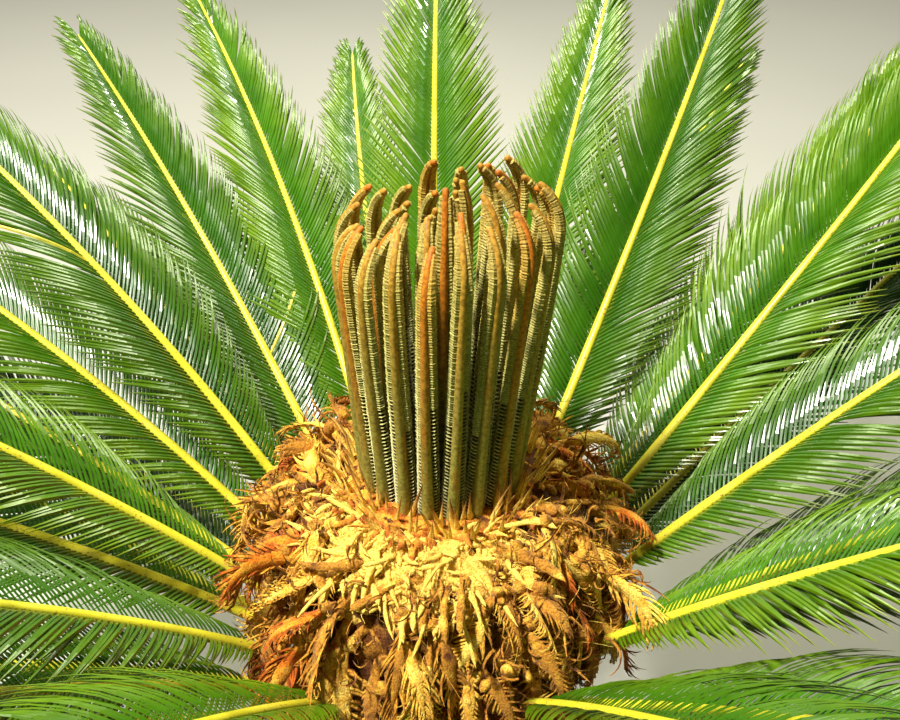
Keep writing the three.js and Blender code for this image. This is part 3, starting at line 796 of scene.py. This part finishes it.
def grow_young_frond(young, random, rachises, coils):
    straight, whole = young_lengths(young[0], young[2])
    blunt = whole - RACHIS_RADIUS[-1, 1] * np.array([0.7, 0.4, 0.15, 0.0])
    hook = np.linspace(straight, whole - 0.003, 18)[1:]
    far = np.concatenate([np.linspace(0, straight, 20), hook, blunt])
    place, _, sideways, backward = young_path(young, far)
    radius = np.interp(far / whole, *RACHIS_RADIUS.T)
    end = np.clip((whole - far) / RACHIS_RADIUS[-1, 1], 0, 1)
    radius = radius * np.sqrt(1 - 0.995 * (1 - end) ** 2)
    centre = place + backward * (RACHIS_OUT * (1 - (far / whole) ** 4))[:, None]
    rachises.skin(tubes(centre[None], -sideways[None], backward[None], radius, radius, 10))
    for side in (-1, 1):
        grow_coils(young, side, random, coils)


def grow_coils(young, side, random, coils):
    """A column of coiled leaflets beside the rachis: round coils low down, close ribs above."""
    ring = young[0]
    straight, whole = young_lengths(ring, young[2])
    low_end = straight * random.uniform(*LOW_COIL_SHARES)
    high_end = whole - random.uniform(*COIL_END_GAPS)
    low_pitch = LOW_COIL_PITCH * ring["fine"]
    low_turns = int((low_end - COIL_START) / low_pitch)
    high_turns = int((high_end - low_end) / (HIGH_COIL_PITCH * ring["fine"]))
    low = COIL_START + np.arange(len(LOW_COIL) * low_turns) * low_pitch / len(LOW_COIL)
    high = np.linspace(low[-1] + COIL_STEP, high_end, len(HIGH_COIL) * high_turns, endpoint=False)
    far = np.concatenate([low, high])
    outline = np.concatenate([np.tile(LOW_COIL, low_turns), np.tile(HIGH_COIL, high_turns)])
    faded = np.interp(far / whole, *COIL_FADE.T)
    outline = outline + (1 - outline) * faded
    place, forward, sideways, backward = young_path(young, far)
    radius = np.interp(far / whole, *COIL_RADIUS.T) * outline
    radius = radius * uneven(random, 0.05, len(far))
    radius[-1] = 0.0002
    reach = np.interp(far / whole, *COIL_OFFSET.T)[:, None]
    centre = place + side * sideways * reach - backward * COIL_IN
    points = tubes(centre[None], -sideways[None], backward[None], radius, radius, COIL_SIDES)
    outer = np.sum((points - centre[None, :, None]) * sideways[None, :, None], axis=-1) * side
    slant = between(COIL_SLANT, np.clip(2 * far / whole, 0, 1))[None, :, None, None]
    coils.skin(points + outer[..., None] * forward[None, :, None] * slant, along=outline[:, None])


# Woolly cushion and its spikes and hairs

def lathe(profile, sides, height_ripple, seed, size=0.018, stations=40):
    """A turned shape (one row) with an uneven, woolly surface."""
    radius, height = on_outline(profile, np.linspace(0, 1, stations))
    azimuth = np.linspace(0, 360, sides, endpoint=False)
    points = standing(azimuth, radius[:, None], height[:, None])
    points = points + UP * (height_ripple * ripples(points, size, seed))[..., None]
    swell = (height_ripple * ripples(points, size * 0.8, seed + 1))[..., None]
    points = points + outward(azimuth)[None, :] * swell * (radius / radius.max())[:, None, None]
    return points[None]


def grow_spikes(random, spikes):
    """Those furthest out are the shortest and lean out most."""
    azimuth = random.uniform(0, 360, SPIKES)
    out = random.random(SPIKES)
    length = random.uniform(*SPIKE_LENGTHS, SPIKES) * (1.2 - 0.4 * out)
    start = standing(azimuth, between(SPIKE_RADII, out), random.uniform(-0.004, 0.002, SPIKES))
    lean = random.uniform(0, 14, SPIKES) + 26 * out
    bend = random.uniform(-14, 22, SPIKES)
    tilt = lean[:, None] + bend[:, None] * middles(SPIKE_SEGMENTS)
    swing = azimuth + random.normal(0, 35, SPIKES)
    places = walk(start, pitched(swing[:, None], 90 - tilt), (length / SPIKE_SEGMENTS)[:, None])
    _, sideways, upward = directions_along(places, outward(azimuth)[:, None])
    share = np.linspace(0, 1, SPIKE_SEGMENTS + 1)
    wide = SPIKE_HALF_WIDTH * random.uniform(0.5, 1.2, SPIKES)[:, None] * (1 - share**0.8) + 0.0002
    spikes.skin(tubes(places, sideways, upward, wide, wide * 0.6, 5))


def grow_hairs(random, pile, count, area, length, curl, half_width=0.00032, rise=(20, 80), segments=5):
    """Curling fibres that start at places given by area(random, count) -> places, azimuths."""
    start, azimuth = area(random, count)
    share = middles(segments)
    size = random.uniform(*length, count)
    heading = azimuth + random.normal(0, HAIR_SWING, count)
    pitch = random.uniform(*rise, count)
    swing = heading[:, None] + random.normal(0, curl, (count, 1)) * share
    tilt = pitch[:, None] + random.normal(-curl * 0.5, curl, (count, 1)) * share
    places = walk(start, pitched(swing, tilt), (size / segments)[:, None])
    above = unit(random.standard_normal((count, 1, 3)))
    _, sideways, upward = directions_along(places, above)
    wide = half_width * (1 - 0.75 * np.linspace(0, 1, segments + 1)) * np.ones((count, 1))
    pile.skin(blades(places, sideways, upward, wide, wide * 0.6), closed=False)


def on_profile(profile, low=0.0, high=1.0):
    """An area for hairs: anywhere on a turned shape between two shares of its outline."""

    def area(random, count):
        radius, height = on_outline(profile, random.uniform(low, high, count))
        azimuth = random.uniform(0, 360, count)
        return standing(azimuth, radius, height), azimuth

    return area


def off_the_front(area):
    """The same area, with what falls on the bare wool in front moved round to the sides."""

    def sides(random, count):
        place, azimuth = area(random, count)
        bare = np.linalg.norm(place[:, :2], axis=-1) < bare_radius(azimuth)
        place[bare, 1] *= -1
        return place, np.where(bare, 180 - azimuth, azimuth)

    return sides


# Seed head

def head_reach(azimuth):
    """How far the head hangs out at an azimuth, as a factor."""
    return between(HEAD_REACH, np.maximum(0, np.cos(np.radians(azimuth - HEAD_FAR_SIDE))) ** 3)


def bare_radius(azimuth):
    """Where the woolly cushion ends and the first scale leaves stand."""
    return between(BARE_RADII, np.maximum(0, np.cos(np.radians(azimuth - BARE_SIDE))) ** 2.5)


def scale_leaf_rows(row, random):
    """Stations of the midribs of one row of scale leaves, and their directions."""
    count = row["count"]
    azimuth = (np.arange(count) + random.uniform(-0.42, 0.42, count)) * 360 / count
    azimuth = azimuth + random.uniform(0, 360)
    azimuth = azimuth[row["radius"] >= bare_radius(azimuth)]
    count = len(azimuth)
    size = random.uniform(*SCALE_SIZES, count) * head_reach(azimuth)
    height = row["height"] + random.uniform(-SCALE_HEIGHT_SPREAD, SCALE_HEIGHT_SPREAD, count)
    start = standing(azimuth, row["radius"] - SCALE_SUNK, height)
    whole = row["stalk"] + row["blade"]
    step = (whole * size + SCALE_SUNK) / (SCALE_STATIONS - 1)
    middle = middles(SCALE_STATIONS - 1)[None]
    pitch = between(row["pitch"], middle**0.8) + random.normal(*SCALE_PITCH_OFF, (count, 1))
    pitch = pitch + random.normal(0, SCALE_ARCH_SPREAD, (count, 1)) * np.sin(np.pi * middle)
    swing = azimuth[:, None] + random.normal(0, SCALE_SWING_SPREAD, (count, 1))
    swing = swing + random.normal(0, SCALE_CURVE_SPREAD, (count, 1)) * middle
    places = walk(start, pitched(swing, pitch), step[:, None])
    roll = np.radians(random.normal(0, SCALE_ROLL_SPREAD, count))[:, None]
    above = unit(outward(azimuth) * 0.55 + UP * 0.85) * np.cos(roll) + clockwise(azimuth) * np.sin(roll)
    return places, directions_along(places, above[:, None]), size, row["stalk"] / whole


def grow_scale_leaves(row, random, blades_pile, fingers_pile, knobs_pile):
    places, (forward, sideways, upward), size, stalk = scale_leaf_rows(row, random)
    if not len(size):
        return
    blade = np.clip((np.linspace(0, 1, SCALE_STATIONS) - stalk) / (1 - stalk), 0, 1)
    swell = np.sin(np.pi * np.clip(blade * 1.15, 0, 1)) ** 0.7
    wide = between((SCALE_STALK_HALF_WIDTH, SCALE_HALF_WIDTH), swell) * (1 - 0.9 * blade**2.2)
    thick = between(SCALE_HALF_THICK, blade**0.6)
    wide = size[:, None] * wide * uneven(random, 0.12, len(size), SCALE_STATIONS)
    thick = size[:, None] * thick * uneven(random, 0.10, len(size), SCALE_STATIONS)
    wide[:, -1] = thick[:, -1] = 0.0004
    blades_pile.skin(tubes(places, sideways, upward, wide, thick, 8))
    midribs = (places, forward, sideways, upward)
    longest = FINGER_LENGTH * row["blade"] / LONGEST_BLADE
    grow_fingers(random, midribs, wide, size, stalk, longest, fingers_pile)
    grow_knobs(random, midribs, size, stalk, knobs_pile)


def grow_fingers(random, midribs, wide, size, stalk, longest, pile):
    """Long thin lobes on both edges of each blade, which curve forward and curl over."""
    rank = middles(FINGERS)
    shares = stalk + (1 - stalk) * (0.02 + 0.98 * rank)
    share = middles(FINGER_SEGMENTS)
    curl = random.normal(*FINGER_CURL, (len(size), 1))
    close = random.uniform(0.55, 1.0, (len(size), 1, 1))
    width_rows = np.repeat(wide[..., None], 3, axis=-1)
    for side in (-1, 1):
        jitter = random.uniform(-0.3, 0.3, (len(size), FINGERS)) * (1 - stalk) / FINGERS
        at = np.clip(shares[None] + jitter, 0, 1)
        root, ahead, aside, up = [sample(rows, at) for rows in midribs]
        root = root + side * aside * sample(width_rows, at) * 0.8
        bend = curl + random.normal(0, FINGER_CURL_SPREAD, (len(size), FINGERS))
        length = longest * size[:, None] * (0.5 + 0.5 * np.sin(np.pi * (0.15 + 0.7 * rank)))
        length = length * random.uniform(*FINGER_SIZES, length.shape)
        angle = between(FINGER_ANGLES, rank)[None, :, None] * close - FINGER_CURVE * share
        angle = angle + random.normal(0, FINGER_ANGLE_SPREAD, (len(size), FINGERS, 1))
        angle = np.radians(angle)[..., None]
        lift = np.radians(FINGER_LIFT + bend[..., None] * share)[..., None]
        heading = ahead[:, :, None] * np.cos(angle) + side * aside[:, :, None] * np.sin(angle)
        heading = heading * np.cos(lift) + up[:, :, None] * np.sin(lift)
        heading = heading.reshape(-1, FINGER_SEGMENTS, 3)
        lines = walk(root.reshape(-1, 3), heading, length.reshape(-1, 1) / FINGER_SEGMENTS)
        _, across, over = directions_along(lines, (up + 0.3 * ahead).reshape(-1, 1, 3))
        half = FINGER_HALF_WIDTH * np.repeat(size, FINGERS)[:, None] * FINGER_TAPER
        pile.skin(blades(lines, across, over, half, half * 0.9), closed=False)


def grow_knobs(random, midribs, size, stalk, pile):
    """Woolly seed knobs on the stalks."""
    count = len(size)
    at = random.uniform(0.25, 1.1, (count, KNOBS)) * stalk
    root, ahead, aside, up = [sample(rows, at) for rows in midribs]
    side = random.choice([-1, 1], (count, KNOBS))[..., None]
    heading = unit(side * aside + 0.5 * ahead + up * random.normal(0.3, 0.5, (count, KNOBS))[..., None])
    grow_beads(random, pile, root.reshape(-1, 3), heading.reshape(-1, 3), KNOB_RADII)


def grow_beads(random, pile, root, heading, radii):
    """Egg-shaped knobs that start at their roots and point along their headings."""
    count = len(root)
    share = np.linspace(0, 1, 6)
    radius = random.uniform(*radii, count)
    places = root[:, None] + heading[:, None] * (share * 2.5 * radius[:, None])[..., None]
    above = unit(random.standard_normal((count, 1, 3)))
    _, sideways, upward = directions_along(places, above)
    outline = np.sin(np.pi * (0.12 + 0.86 * share)) ** 0.6
    outline[-1] = 0.05
    half = radius[:, None] * outline * uneven(random, 0.12, count, len(share))
    pile.skin(tubes(places, sideways, upward, half, half * 0.9, 7))


def grow_stalks(random, pile, start, heading, length, thick, pitch, fall, segments=14, sides=10):
    """Thick woolly stalks that lie from their starts along their headings and bend down."""
    count = len(start)
    middle = middles(segments)
    swing = heading[:, None] + random.normal(0, 40, (count, 1)) * middle
    tilt = random.uniform(*pitch, (count, 1)) - random.uniform(*fall, (count, 1)) * middle
    places = walk(start, pitched(swing, tilt), (length / segments)[:, None])
    _, sideways, upward = directions_along(places, UP)
    share = np.linspace(0, 1, segments + 1)
    outline = np.sqrt(np.clip(1 - (2 * share - 1) ** 6, 0.01, 1)) * (1 - 0.45 * share)
    half = thick[:, None] * outline[None] * (1 + 0.26 * ripples(places, 0.011, 71))
    pile.skin(tubes(places, sideways, upward, half, half * 0.85, sides))


def grow_logs(random, pile):
    """Stalks that lie every way over the inner rows of the head."""
    azimuth = random.uniform(0, 360, LOGS)
    radius = np.maximum(random.uniform(*LOG_RADII, LOGS), bare_radius(azimuth) - 0.012)
    height = np.interp(radius, *LOG_HEIGHTS.T) + random.uniform(-0.002, 0.005, LOGS)
    heading = azimuth + random.choice([-1, 1], LOGS) * random.uniform(10, 105, LOGS)
    start = standing(azimuth, radius, height)
    length = random.uniform(*LOG_LENGTHS, LOGS)
    thick = random.uniform(*LOG_HALF_THICKS, LOGS)
    grow_stalks(random, pile, start, heading, length, thick, pitch=(0, 22), fall=(36, 60))
    for stalk in LAID_STALKS:
        grow_stalks(random, pile, *[np.array([value]) for value in stalk], pitch=(0, 4), fall=(6, 12))


def front_wool(reach, inner, outer):
    """A patch of wool on the front of the cushion, whose edges sink into the cushion."""
    azimuth = BARE_SIDE + np.linspace(-reach, reach, 90)
    radius = np.linspace(inner, outer, 36)[:, None]
    across = 1 - ((azimuth - BARE_SIDE) / reach) ** 4
    rise = np.clip((outer - radius) / 0.020, 0, 1) * np.clip((radius - inner) / 0.004, 0, 1)
    height = np.interp(radius, *CUSHION.T) - 0.006 + 0.010 * across * np.sqrt(rise)
    points = standing(azimuth, radius, height)
    return (points + UP * lumps(points, *WOOL_LUMPS, 61)[..., None])[None]


def bare_front(random, count):
    """Places on the bare front of the cushion, and their azimuths."""
    azimuth = BARE_SIDE + random.normal(0, TUFT_SIDES_SPREAD, count)
    radius = random.uniform(*TUFT_RADII, count)
    return standing(azimuth, radius, np.interp(radius, *CUSHION.T)), azimuth


def among_spikes(random, count):
    """Places round the feet of the young fronds, and their azimuths."""
    azimuth = BARE_SIDE + random.normal(0, RED_TUFT_SIDES_SPREAD, count)
    return standing(azimuth, random.uniform(*RED_TUFT_RADII, count), RED_TUFT_HEIGHT), azimuth


def grow_tufts(random, pile, area, count, lengths=(0.010, 0.028)):
    """Strands of matted wool that lie every way on the cushion."""
    start, _ = area(random, count)
    heading = random.uniform(0, 360, count)
    length = random.uniform(*lengths, count)
    thick = random.uniform(*TUFT_HALF_THICKS, count)
    grow_stalks(random, pile, start, heading, length, thick, pitch=(-12, 24), fall=(0, 50),
                segments=7, sides=6)


# Trunk

def grow_bark(random, bark, bases):
    """The trunk's own surface, and the cut leaf bases that armour it."""
    distances = np.arange(0, BARK_TOP + BARK_STEP / 2, BARK_STEP)
    azimuth = np.linspace(0, 360, BARK_SIDES, endpoint=False)
    rows = []
    for distance in distances:
        centre, lean = axis_point(distance)
        out = outward(azimuth)
        out = np.stack([out[:, 0] * math.cos(lean), out[:, 1], -out[:, 0] * math.sin(lean)], axis=-1)
        ring = centre + out * trunk_radius(distance)
        rows.append(ring + out * (lumps(ring, *BARK_LUMPS, 31) - BARK_SUNK)[:, None])
    points = np.stack(rows)[None]
    points[0, 0, :, 2] = 0.0
    points[..., 2] = np.maximum(points[..., 2], 0.0)
    bark.skin(points)
    grow_bases(random, bases)


def grow_bases(random, bases):
    distance = BASES_FROM
    azimuth = 0.0
    found = []
    while distance < BASES_TO:
        found.append((distance, azimuth % 360))
        azimuth += GOLDEN_ANGLE
        distance += BASE_AREA / (2 * math.pi * trunk_radius(distance))
    found = np.array(found)
    count = len(found)
    centres = np.array([axis_point(at)[0] for at in found[:, 0]])
    azimuth = found[:, 1] + random.normal(0, 1.2, count)
    out = outward(azimuth)
    root = centres + out * (trunk_radius(found[:, 0]) - BASE_SUNK)[:, None]
    size = random.uniform(*BASE_SIZES, count) * np.interp(found[:, 0], *BASE_SIZES_BY_HEIGHT.T)
    pitch = BASE_PITCH + random.normal(0, 5, count)
    heading = pitched(azimuth + random.normal(0, 6, count), pitch)
    share, wide, thick = BASE_OUTLINE.T
    places = root[:, None] + heading[:, None] * (share * BASE_LENGTH * size[:, None])[..., None]
    forward = np.broadcast_to(heading[:, None], places.shape)
    sideways = unit(np.cross(forward, UP))
    upward = np.cross(sideways, forward)
    rough = size[:, None] * uneven(random, 0.07, count, len(share))
    wide = BASE_HALF_WIDTH * wide * rough
    thick = BASE_HALF_THICK * thick * rough
    points = tubes(places, sideways, upward, wide, thick, 8)
    points[..., 2] = np.maximum(points[..., 2], 0.0)
    bases.skin(points)


# Colours, dealt out by piece

# Three greens: beside the leaves' own tones, the first stands partly for sunlight and the last partly
# for shade.
LEAF_GREENS = [
    leaf_material("leaf_fresh_sunlit", (0.038, 0.135, 0.002), (0.098, 0.190, 0.003), (0.200, 0.240, 0.004)),
    leaf_material("leaf_mid", (0.024, 0.095, 0.002), (0.060, 0.135, 0.002), (0.130, 0.170, 0.004)),
    leaf_material("leaf_deep_shaded", (0.013, 0.054, 0.001), (0.025, 0.072, 0.002), (0.050, 0.085, 0.003)),
]
# The green of a ring's even and odd fronds: the lower rings have the darker greens, as painted shade.
# Those at the very back, in the sun, have the first green, as painted sunlight.
RING_GREENS = {"upper": (0, 1), "middle": (0, 1), "spreading": (1, 2), "lower": (2, 2)}
SUNNY_SIDE = 0.95
LEAF_YELLOW = leaf_material("leaf_yellowed", (0.62, 0.55, 0.05), (0.66, 0.58, 0.10), (0.60, 0.46, 0.16))
RIB = rib_material()
CREAM = (0.92, 0.67, 0.130)
GOLD = (0.76, 0.44, 0.050)
TAN = (0.48, 0.22, 0.026)
RUST = (0.50, 0.11, 0.010)
BROWN = (0.150, 0.050, 0.012)
DARK = (0.030, 0.012, 0.005)

# The cushion's own brown wool, darkened as painted shade so that the gaps between the scale leaves look
# dark.
cushion_wool_and_shade = wool_material("wool_brown", [DARK, BROWN, TAN], patch=0.016, cleft_shade=0.5)
tuft_wool = wool_material("wool_cream", [GOLD, CREAM, CREAM, CREAM, CREAM], patch=0.030, cleft_shade=0.62)
red_wool = wool_material("wool_red", [
    (0.26, 0.06, 0.008), (0.48, 0.15, 0.015), (0.70, 0.34, 0.04), GOLD,
], patch=0.010, cleft_shade=0.6)
hair_pale = wool_material("hair_pale", [GOLD, CREAM, CREAM], cleft_shade=0.8)
hair_brown = wool_material("hair_brown", [BROWN, TAN, GOLD], cleft_shade=0.7)
strip_brown = wool_material("strip_brown", [
    BROWN, BROWN, TAN, (0.52, 0.22, 0.03), GOLD,
], patch=0.014, cleft_shade=0.5)
# The head's core is dark brown as painted shade deep inside the head, seen through the gaps.
core_shade_brown = wool_material("head_core", [DARK, BROWN, TAN], patch=0.02, cleft_shade=0.3, sheen=0.0)
seed_wool = wool_material("seed_wool", [BROWN, TAN, TAN, GOLD, CREAM], patch=0.014)
log_wool = wool_material("stalk_wool", [BROWN, TAN, TAN, GOLD, CREAM], patch=0.018, cleft_shade=0.45)
foot_brown = wool_material("frond_foot", [BROWN, TAN, GOLD], patch=0.015)
bark_brown = wool_material("bark_relief", [DARK, BROWN, (0.16, 0.10, 0.06)], patch=0.03, depth=0.002)
base_brown = wool_material("leaf_base_bark", [
    BROWN, (0.21, 0.125, 0.07), (0.30, 0.21, 0.13),
], patch=0.018, depth=0.002, cleft_shade=0.4, sheen=0.0)
# Scale leaves in three tones: colours of the blades, and of the fingers.
SCALE_TONES = [
    ("gold", [TAN, GOLD, CREAM, CREAM], [TAN, GOLD, CREAM]),
    ("tan", [BROWN, TAN, TAN, GOLD], [BROWN, TAN, GOLD]),
    ("rust", [RUST, (0.62, 0.17, 0.012), (0.70, 0.28, 0.02), GOLD], [BROWN, RUST, GOLD]),
]
thorn_yellow = wool_material("thorn", [TAN, (0.55, 0.45, 0.06)], cleft_shade=0.8, sheen=0.0)
spike_tones = by_height_material("spike", [
    (-0.006, CREAM), (0.014, CREAM), (0.024, (0.66, 0.36, 0.08)), (0.034, (0.36, 0.15, 0.04)),
    (0.046, (0.22, 0.10, 0.04)),
], 0.0015, 0.0008, (0.6, 0.9))
RACHIS_TONES = {
    "olive": by_height_material("rachis_olive", [
        (0.0, (0.36, 0.34, 0.075)), (0.05, (0.31, 0.29, 0.060)), (0.14, (0.36, 0.27, 0.050)),
        (0.22, (0.50, 0.29, 0.035)), (0.30, (0.46, 0.22, 0.020)),
    ], 0.003, 0.0005, (0.5, 0.7), streaks=(0.42, 0.19, 0.020)),
    "rust": by_height_material("rachis_rust", [
        (0.0, (0.36, 0.34, 0.075)), (0.05, (0.33, 0.28, 0.055)), (0.12, (0.40, 0.22, 0.030)),
        (0.19, (0.54, 0.20, 0.016)), (0.26, (0.58, 0.18, 0.010)), (0.30, (0.40, 0.12, 0.010)),
    ], 0.003, 0.0005, (0.5, 0.7), streaks=(0.54, 0.19, 0.015)),
}
# Painted shade for the grooves between coils.
COIL_GROOVE_SHADE = (0.050, 0.040, 0.008)
COIL_TONES = {
    "olive": by_height_material("coils_olive", [
        (0.0, (0.84, 0.80, 0.46)), (0.08, (0.66, 0.64, 0.28)), (0.15, (0.42, 0.40, 0.12)),
        (0.24, (0.46, 0.39, 0.10)), (0.30, (0.42, 0.27, 0.05)),
    ], 0.0014, 0.0005, (0.5, 0.75), groove_shade=COIL_GROOVE_SHADE),
    "rust": by_height_material("coils_rust", [
        (0.0, (0.84, 0.80, 0.46)), (0.08, (0.60, 0.58, 0.24)), (0.15, (0.42, 0.38, 0.10)),
        (0.24, (0.50, 0.34, 0.06)), (0.30, (0.46, 0.22, 0.025)),
    ], 0.0014, 0.0005, (0.5, 0.75), groove_shade=COIL_GROOVE_SHADE),
}


# Mature fronds, dealt out in three greens

fronds = planned_fronds()
rng = np.random.default_rng(101)
greens = [Pile() for _ in LEAF_GREENS]
yellowed = Pile()
ribs = Pile()
feet = Pile()
thorns = Pile()
frond_pieces = [[] for _ in LEAF_GREENS]
for index, frond in enumerate(fronds):
    # Lower rings take darker greens as painted shade; even and odd fronds differ in tone.
    shade = RING_GREENS[frond["ring"]][index % 2]
    # Painted sunlight: fronds at the very back take the lightest green.
    if outward(frond["azimuth"])[1] > SUNNY_SIDE:
        shade = 0
    grow_leaflets(frond, rng, greens[shade], yellowed)
    grow_rib(frond, ribs, feet, thorns, rng)
    frond_pieces[shade].append(frond["name"])
for number, (pile, green, shown) in enumerate(zip(greens, LEAF_GREENS, frond_pieces), 1):
    piece = make_piece(f"leaflets_{number}", pile, green, smooth=False)
    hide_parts(*shown)
make_piece("leaflets_yellowed", yellowed, LEAF_YELLOW, smooth=False)
make_piece("frond_ribs", ribs, RIB)
make_piece("frond_feet", feet, foot_brown)
make_piece("stalk_thorns", thorns, thorn_yellow)

# Young fronds

rng = np.random.default_rng(202)
rachises = {name: Pile() for name in RACHIS_TONES}
coils = {name: Pile() for name in ("outer_olive", "outer_rust", "middle", "inner")}
for number, (ring, azimuth, height, twist) in enumerate(young_fronds()):
    tone = ["olive", "rust", "olive"][number % 3]
    column = f"outer_{tone}" if ring["name"] == "outer" else ring["name"]
    young = (ring, azimuth, height, twist, rng.uniform(-YOUNG_ROLL, YOUNG_ROLL))
    grow_young_frond(young, rng, rachises[tone], coils[column])
for tone, pile in rachises.items():
    make_piece(f"young_rachises_{tone}", pile, RACHIS_TONES[tone])
for name, pile in coils.items():
    tones = COIL_TONES["rust" if name == "outer_rust" else "olive"]
    piece = make_piece(f"young_coils_{name}", pile, tones, smooth=False)
    ring_name = name.split("_")[0]
    if tones is COIL_TONES["olive"]:
        group = f"young_fronds_{ring_name}_"
        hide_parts(*[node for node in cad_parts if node.startswith(group)])

# Woolly cushion

rng = np.random.default_rng(303)
cushion = Pile()
cushion.skin(lathe(CUSHION, 160, 0.0022, 41))
cushion_piece = make_piece("cushion_wool_and_shade", cushion, cushion_wool_and_shade)
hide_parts("wool_cushion")
tufts = Pile()
tufts.skin(front_wool(60, 0.087, 0.140), closed=False)
grow_tufts(rng, tufts, bare_front, 360)
grow_tufts(rng, tufts, bare_front, 80, (0.030, 0.060))
make_piece("cushion_tufts", tufts, tuft_wool)
red_tufts = Pile()
red_tufts.skin(front_wool(100, 0.058, 0.096), closed=False)
grow_tufts(rng, red_tufts, among_spikes, 110)
make_piece("cushion_red_tufts", red_tufts, red_wool)
spikes = Pile()
grow_spikes(rng, spikes)
make_piece("cushion_spikes", spikes, spike_tones)
pale_hairs = Pile()
grow_hairs(rng, pale_hairs, 2200, bare_front, length=(0.006, 0.022), curl=90)
grow_hairs(rng, pale_hairs, 500, on_profile(HEAD_CORE, 0.0, 0.9), length=(0.02, 0.05), curl=140,
           half_width=0.0005)
make_piece("hairs_pale", pale_hairs, hair_pale)

# Seed head

rng = np.random.default_rng(404)
core = Pile()
core.skin(lathe(HEAD_CORE, 160, 0.004, 51, 0.03))
core_piece = make_piece("head_core", core, core_shade_brown)
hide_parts(*[f"seed_head_{number}" for number in range(1, 7)])
blade_piles = [Pile() for _ in SCALE_TONES]
finger_piles = [Pile() for _ in SCALE_TONES]
seeds = Pile()
for row in SCALE_ROWS:
    for share, blade_pile, finger_pile in zip(TONE_SHARES, blade_piles, finger_piles):
        part = dict(zip(SCALE_KEYS, row))
        part["count"] = max(1, round(share * part["count"]))
        grow_scale_leaves(part, rng, blade_pile, finger_pile, seeds)
for tone, blade_pile, finger_pile in zip(SCALE_TONES, blade_piles, finger_piles):
    name, blade_colours, finger_colours = tone
    blade_wool = wool_material(f"scale_blade_{name}", blade_colours, patch=0.016, cleft_shade=0.6)
    finger_wool = wool_material(f"scale_finger_{name}", finger_colours, patch=0.012, cleft_shade=0.7)
    make_piece(f"scale_blades_{name}", blade_pile, blade_wool)
    make_piece(f"scale_fingers_{name}", finger_pile, finger_wool, smooth=False)
make_piece("seed_knobs", seeds, seed_wool)
logs = Pile()
grow_logs(rng, logs)
make_piece("woolly_stalks", logs, log_wool)
brown_hairs = Pile()
grow_hairs(rng, brown_hairs, 600, on_profile(HEAD_CORE, 0.05, 0.9), length=(0.02, 0.06), curl=150,
           half_width=0.0006)
make_piece("hairs_brown", brown_hairs, hair_brown)
curls = Pile()
grow_hairs(rng, curls, 360, off_the_front(on_profile(HEAD_TOP)), length=(0.022, 0.050), curl=170,
           half_width=0.0015, rise=(-30, 50), segments=9)
make_piece("curled_strips", curls, strip_brown, smooth=False)

# Trunk

rng = np.random.default_rng(505)
bark = Pile()
bases = Pile()
grow_bark(rng, bark, bases)
trunk_piece = make_piece("trunk_bark", bark, bark_brown, crown=False)
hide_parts("trunk")
make_piece("trunk_leaf_bases", bases, base_brown, crown=False, smooth=False)

# Floor, light and camera

def make_floor():
    mesh = bpy.data.meshes.new("floor")
    corners = [(x * FLOOR_REACH, y * FLOOR_REACH, 0) for x, y in ((-1, -1), (1, -1), (1, 1), (-1, 1))]
    mesh.from_pydata(corners, [], [(0, 1, 2, 3)])
    mesh.materials.append(floor_material())
    floor = bpy.data.objects.new("floor", mesh)
    bpy.context.scene.collection.objects.link(floor)


def make_light(name, place, size, energy, colour, aim=(0.0, 0.0, 0.6)):
    lamp = bpy.data.lights.new(name, "AREA")
    lamp.shape = "DISK"
    lamp.size = size
    lamp.energy = energy
    lamp.color = colour
    light = bpy.data.objects.new(name, lamp)
    light.location = place
    light.rotation_euler = (Vector(aim) - Vector(place)).to_track_quat("-Z", "Y").to_euler()
    bpy.context.scene.collection.objects.link(light)


def make_camera():
    data = bpy.data.cameras.new("camera")
    data.sensor_fit = "HORIZONTAL"
    data.sensor_width = 36
    data.lens = CAMERA_LENS
    camera = bpy.data.objects.new("camera", data)
    camera.location = TIP + CAMERA_FROM_TIP
    camera.rotation_euler = (math.radians(90 - CAMERA_PITCH), 0, 0)
    bpy.context.scene.collection.objects.link(camera)
    bpy.context.scene.camera = camera


make_floor()
make_light("sun_side", (-1.35, -0.85, 4.0), 0.35, 330, (1.0, 0.96, 0.86))
make_light("gloss_right", (0.85, 2.35, 3.2), 1.6, 85, (1.0, 1.0, 0.72))
make_light("gloss_left", (-1.2, 2.5, 2.9), 1.6, 65, (1.0, 1.0, 0.72))
make_light("front_fill", (1.4, -3.0, 2.0), 2.5, 3, (1.0, 0.97, 0.92))
world = bpy.data.worlds.new("studio")
world.use_nodes = True
background = world.node_tree.nodes["Background"]
background.inputs["Color"].default_value = (0.9, 0.95, 1.0, 1)
background.inputs["Strength"].default_value = 0.02
bpy.context.scene.world = world
bpy.context.scene.view_settings.view_transform = "Standard"
make_camera()
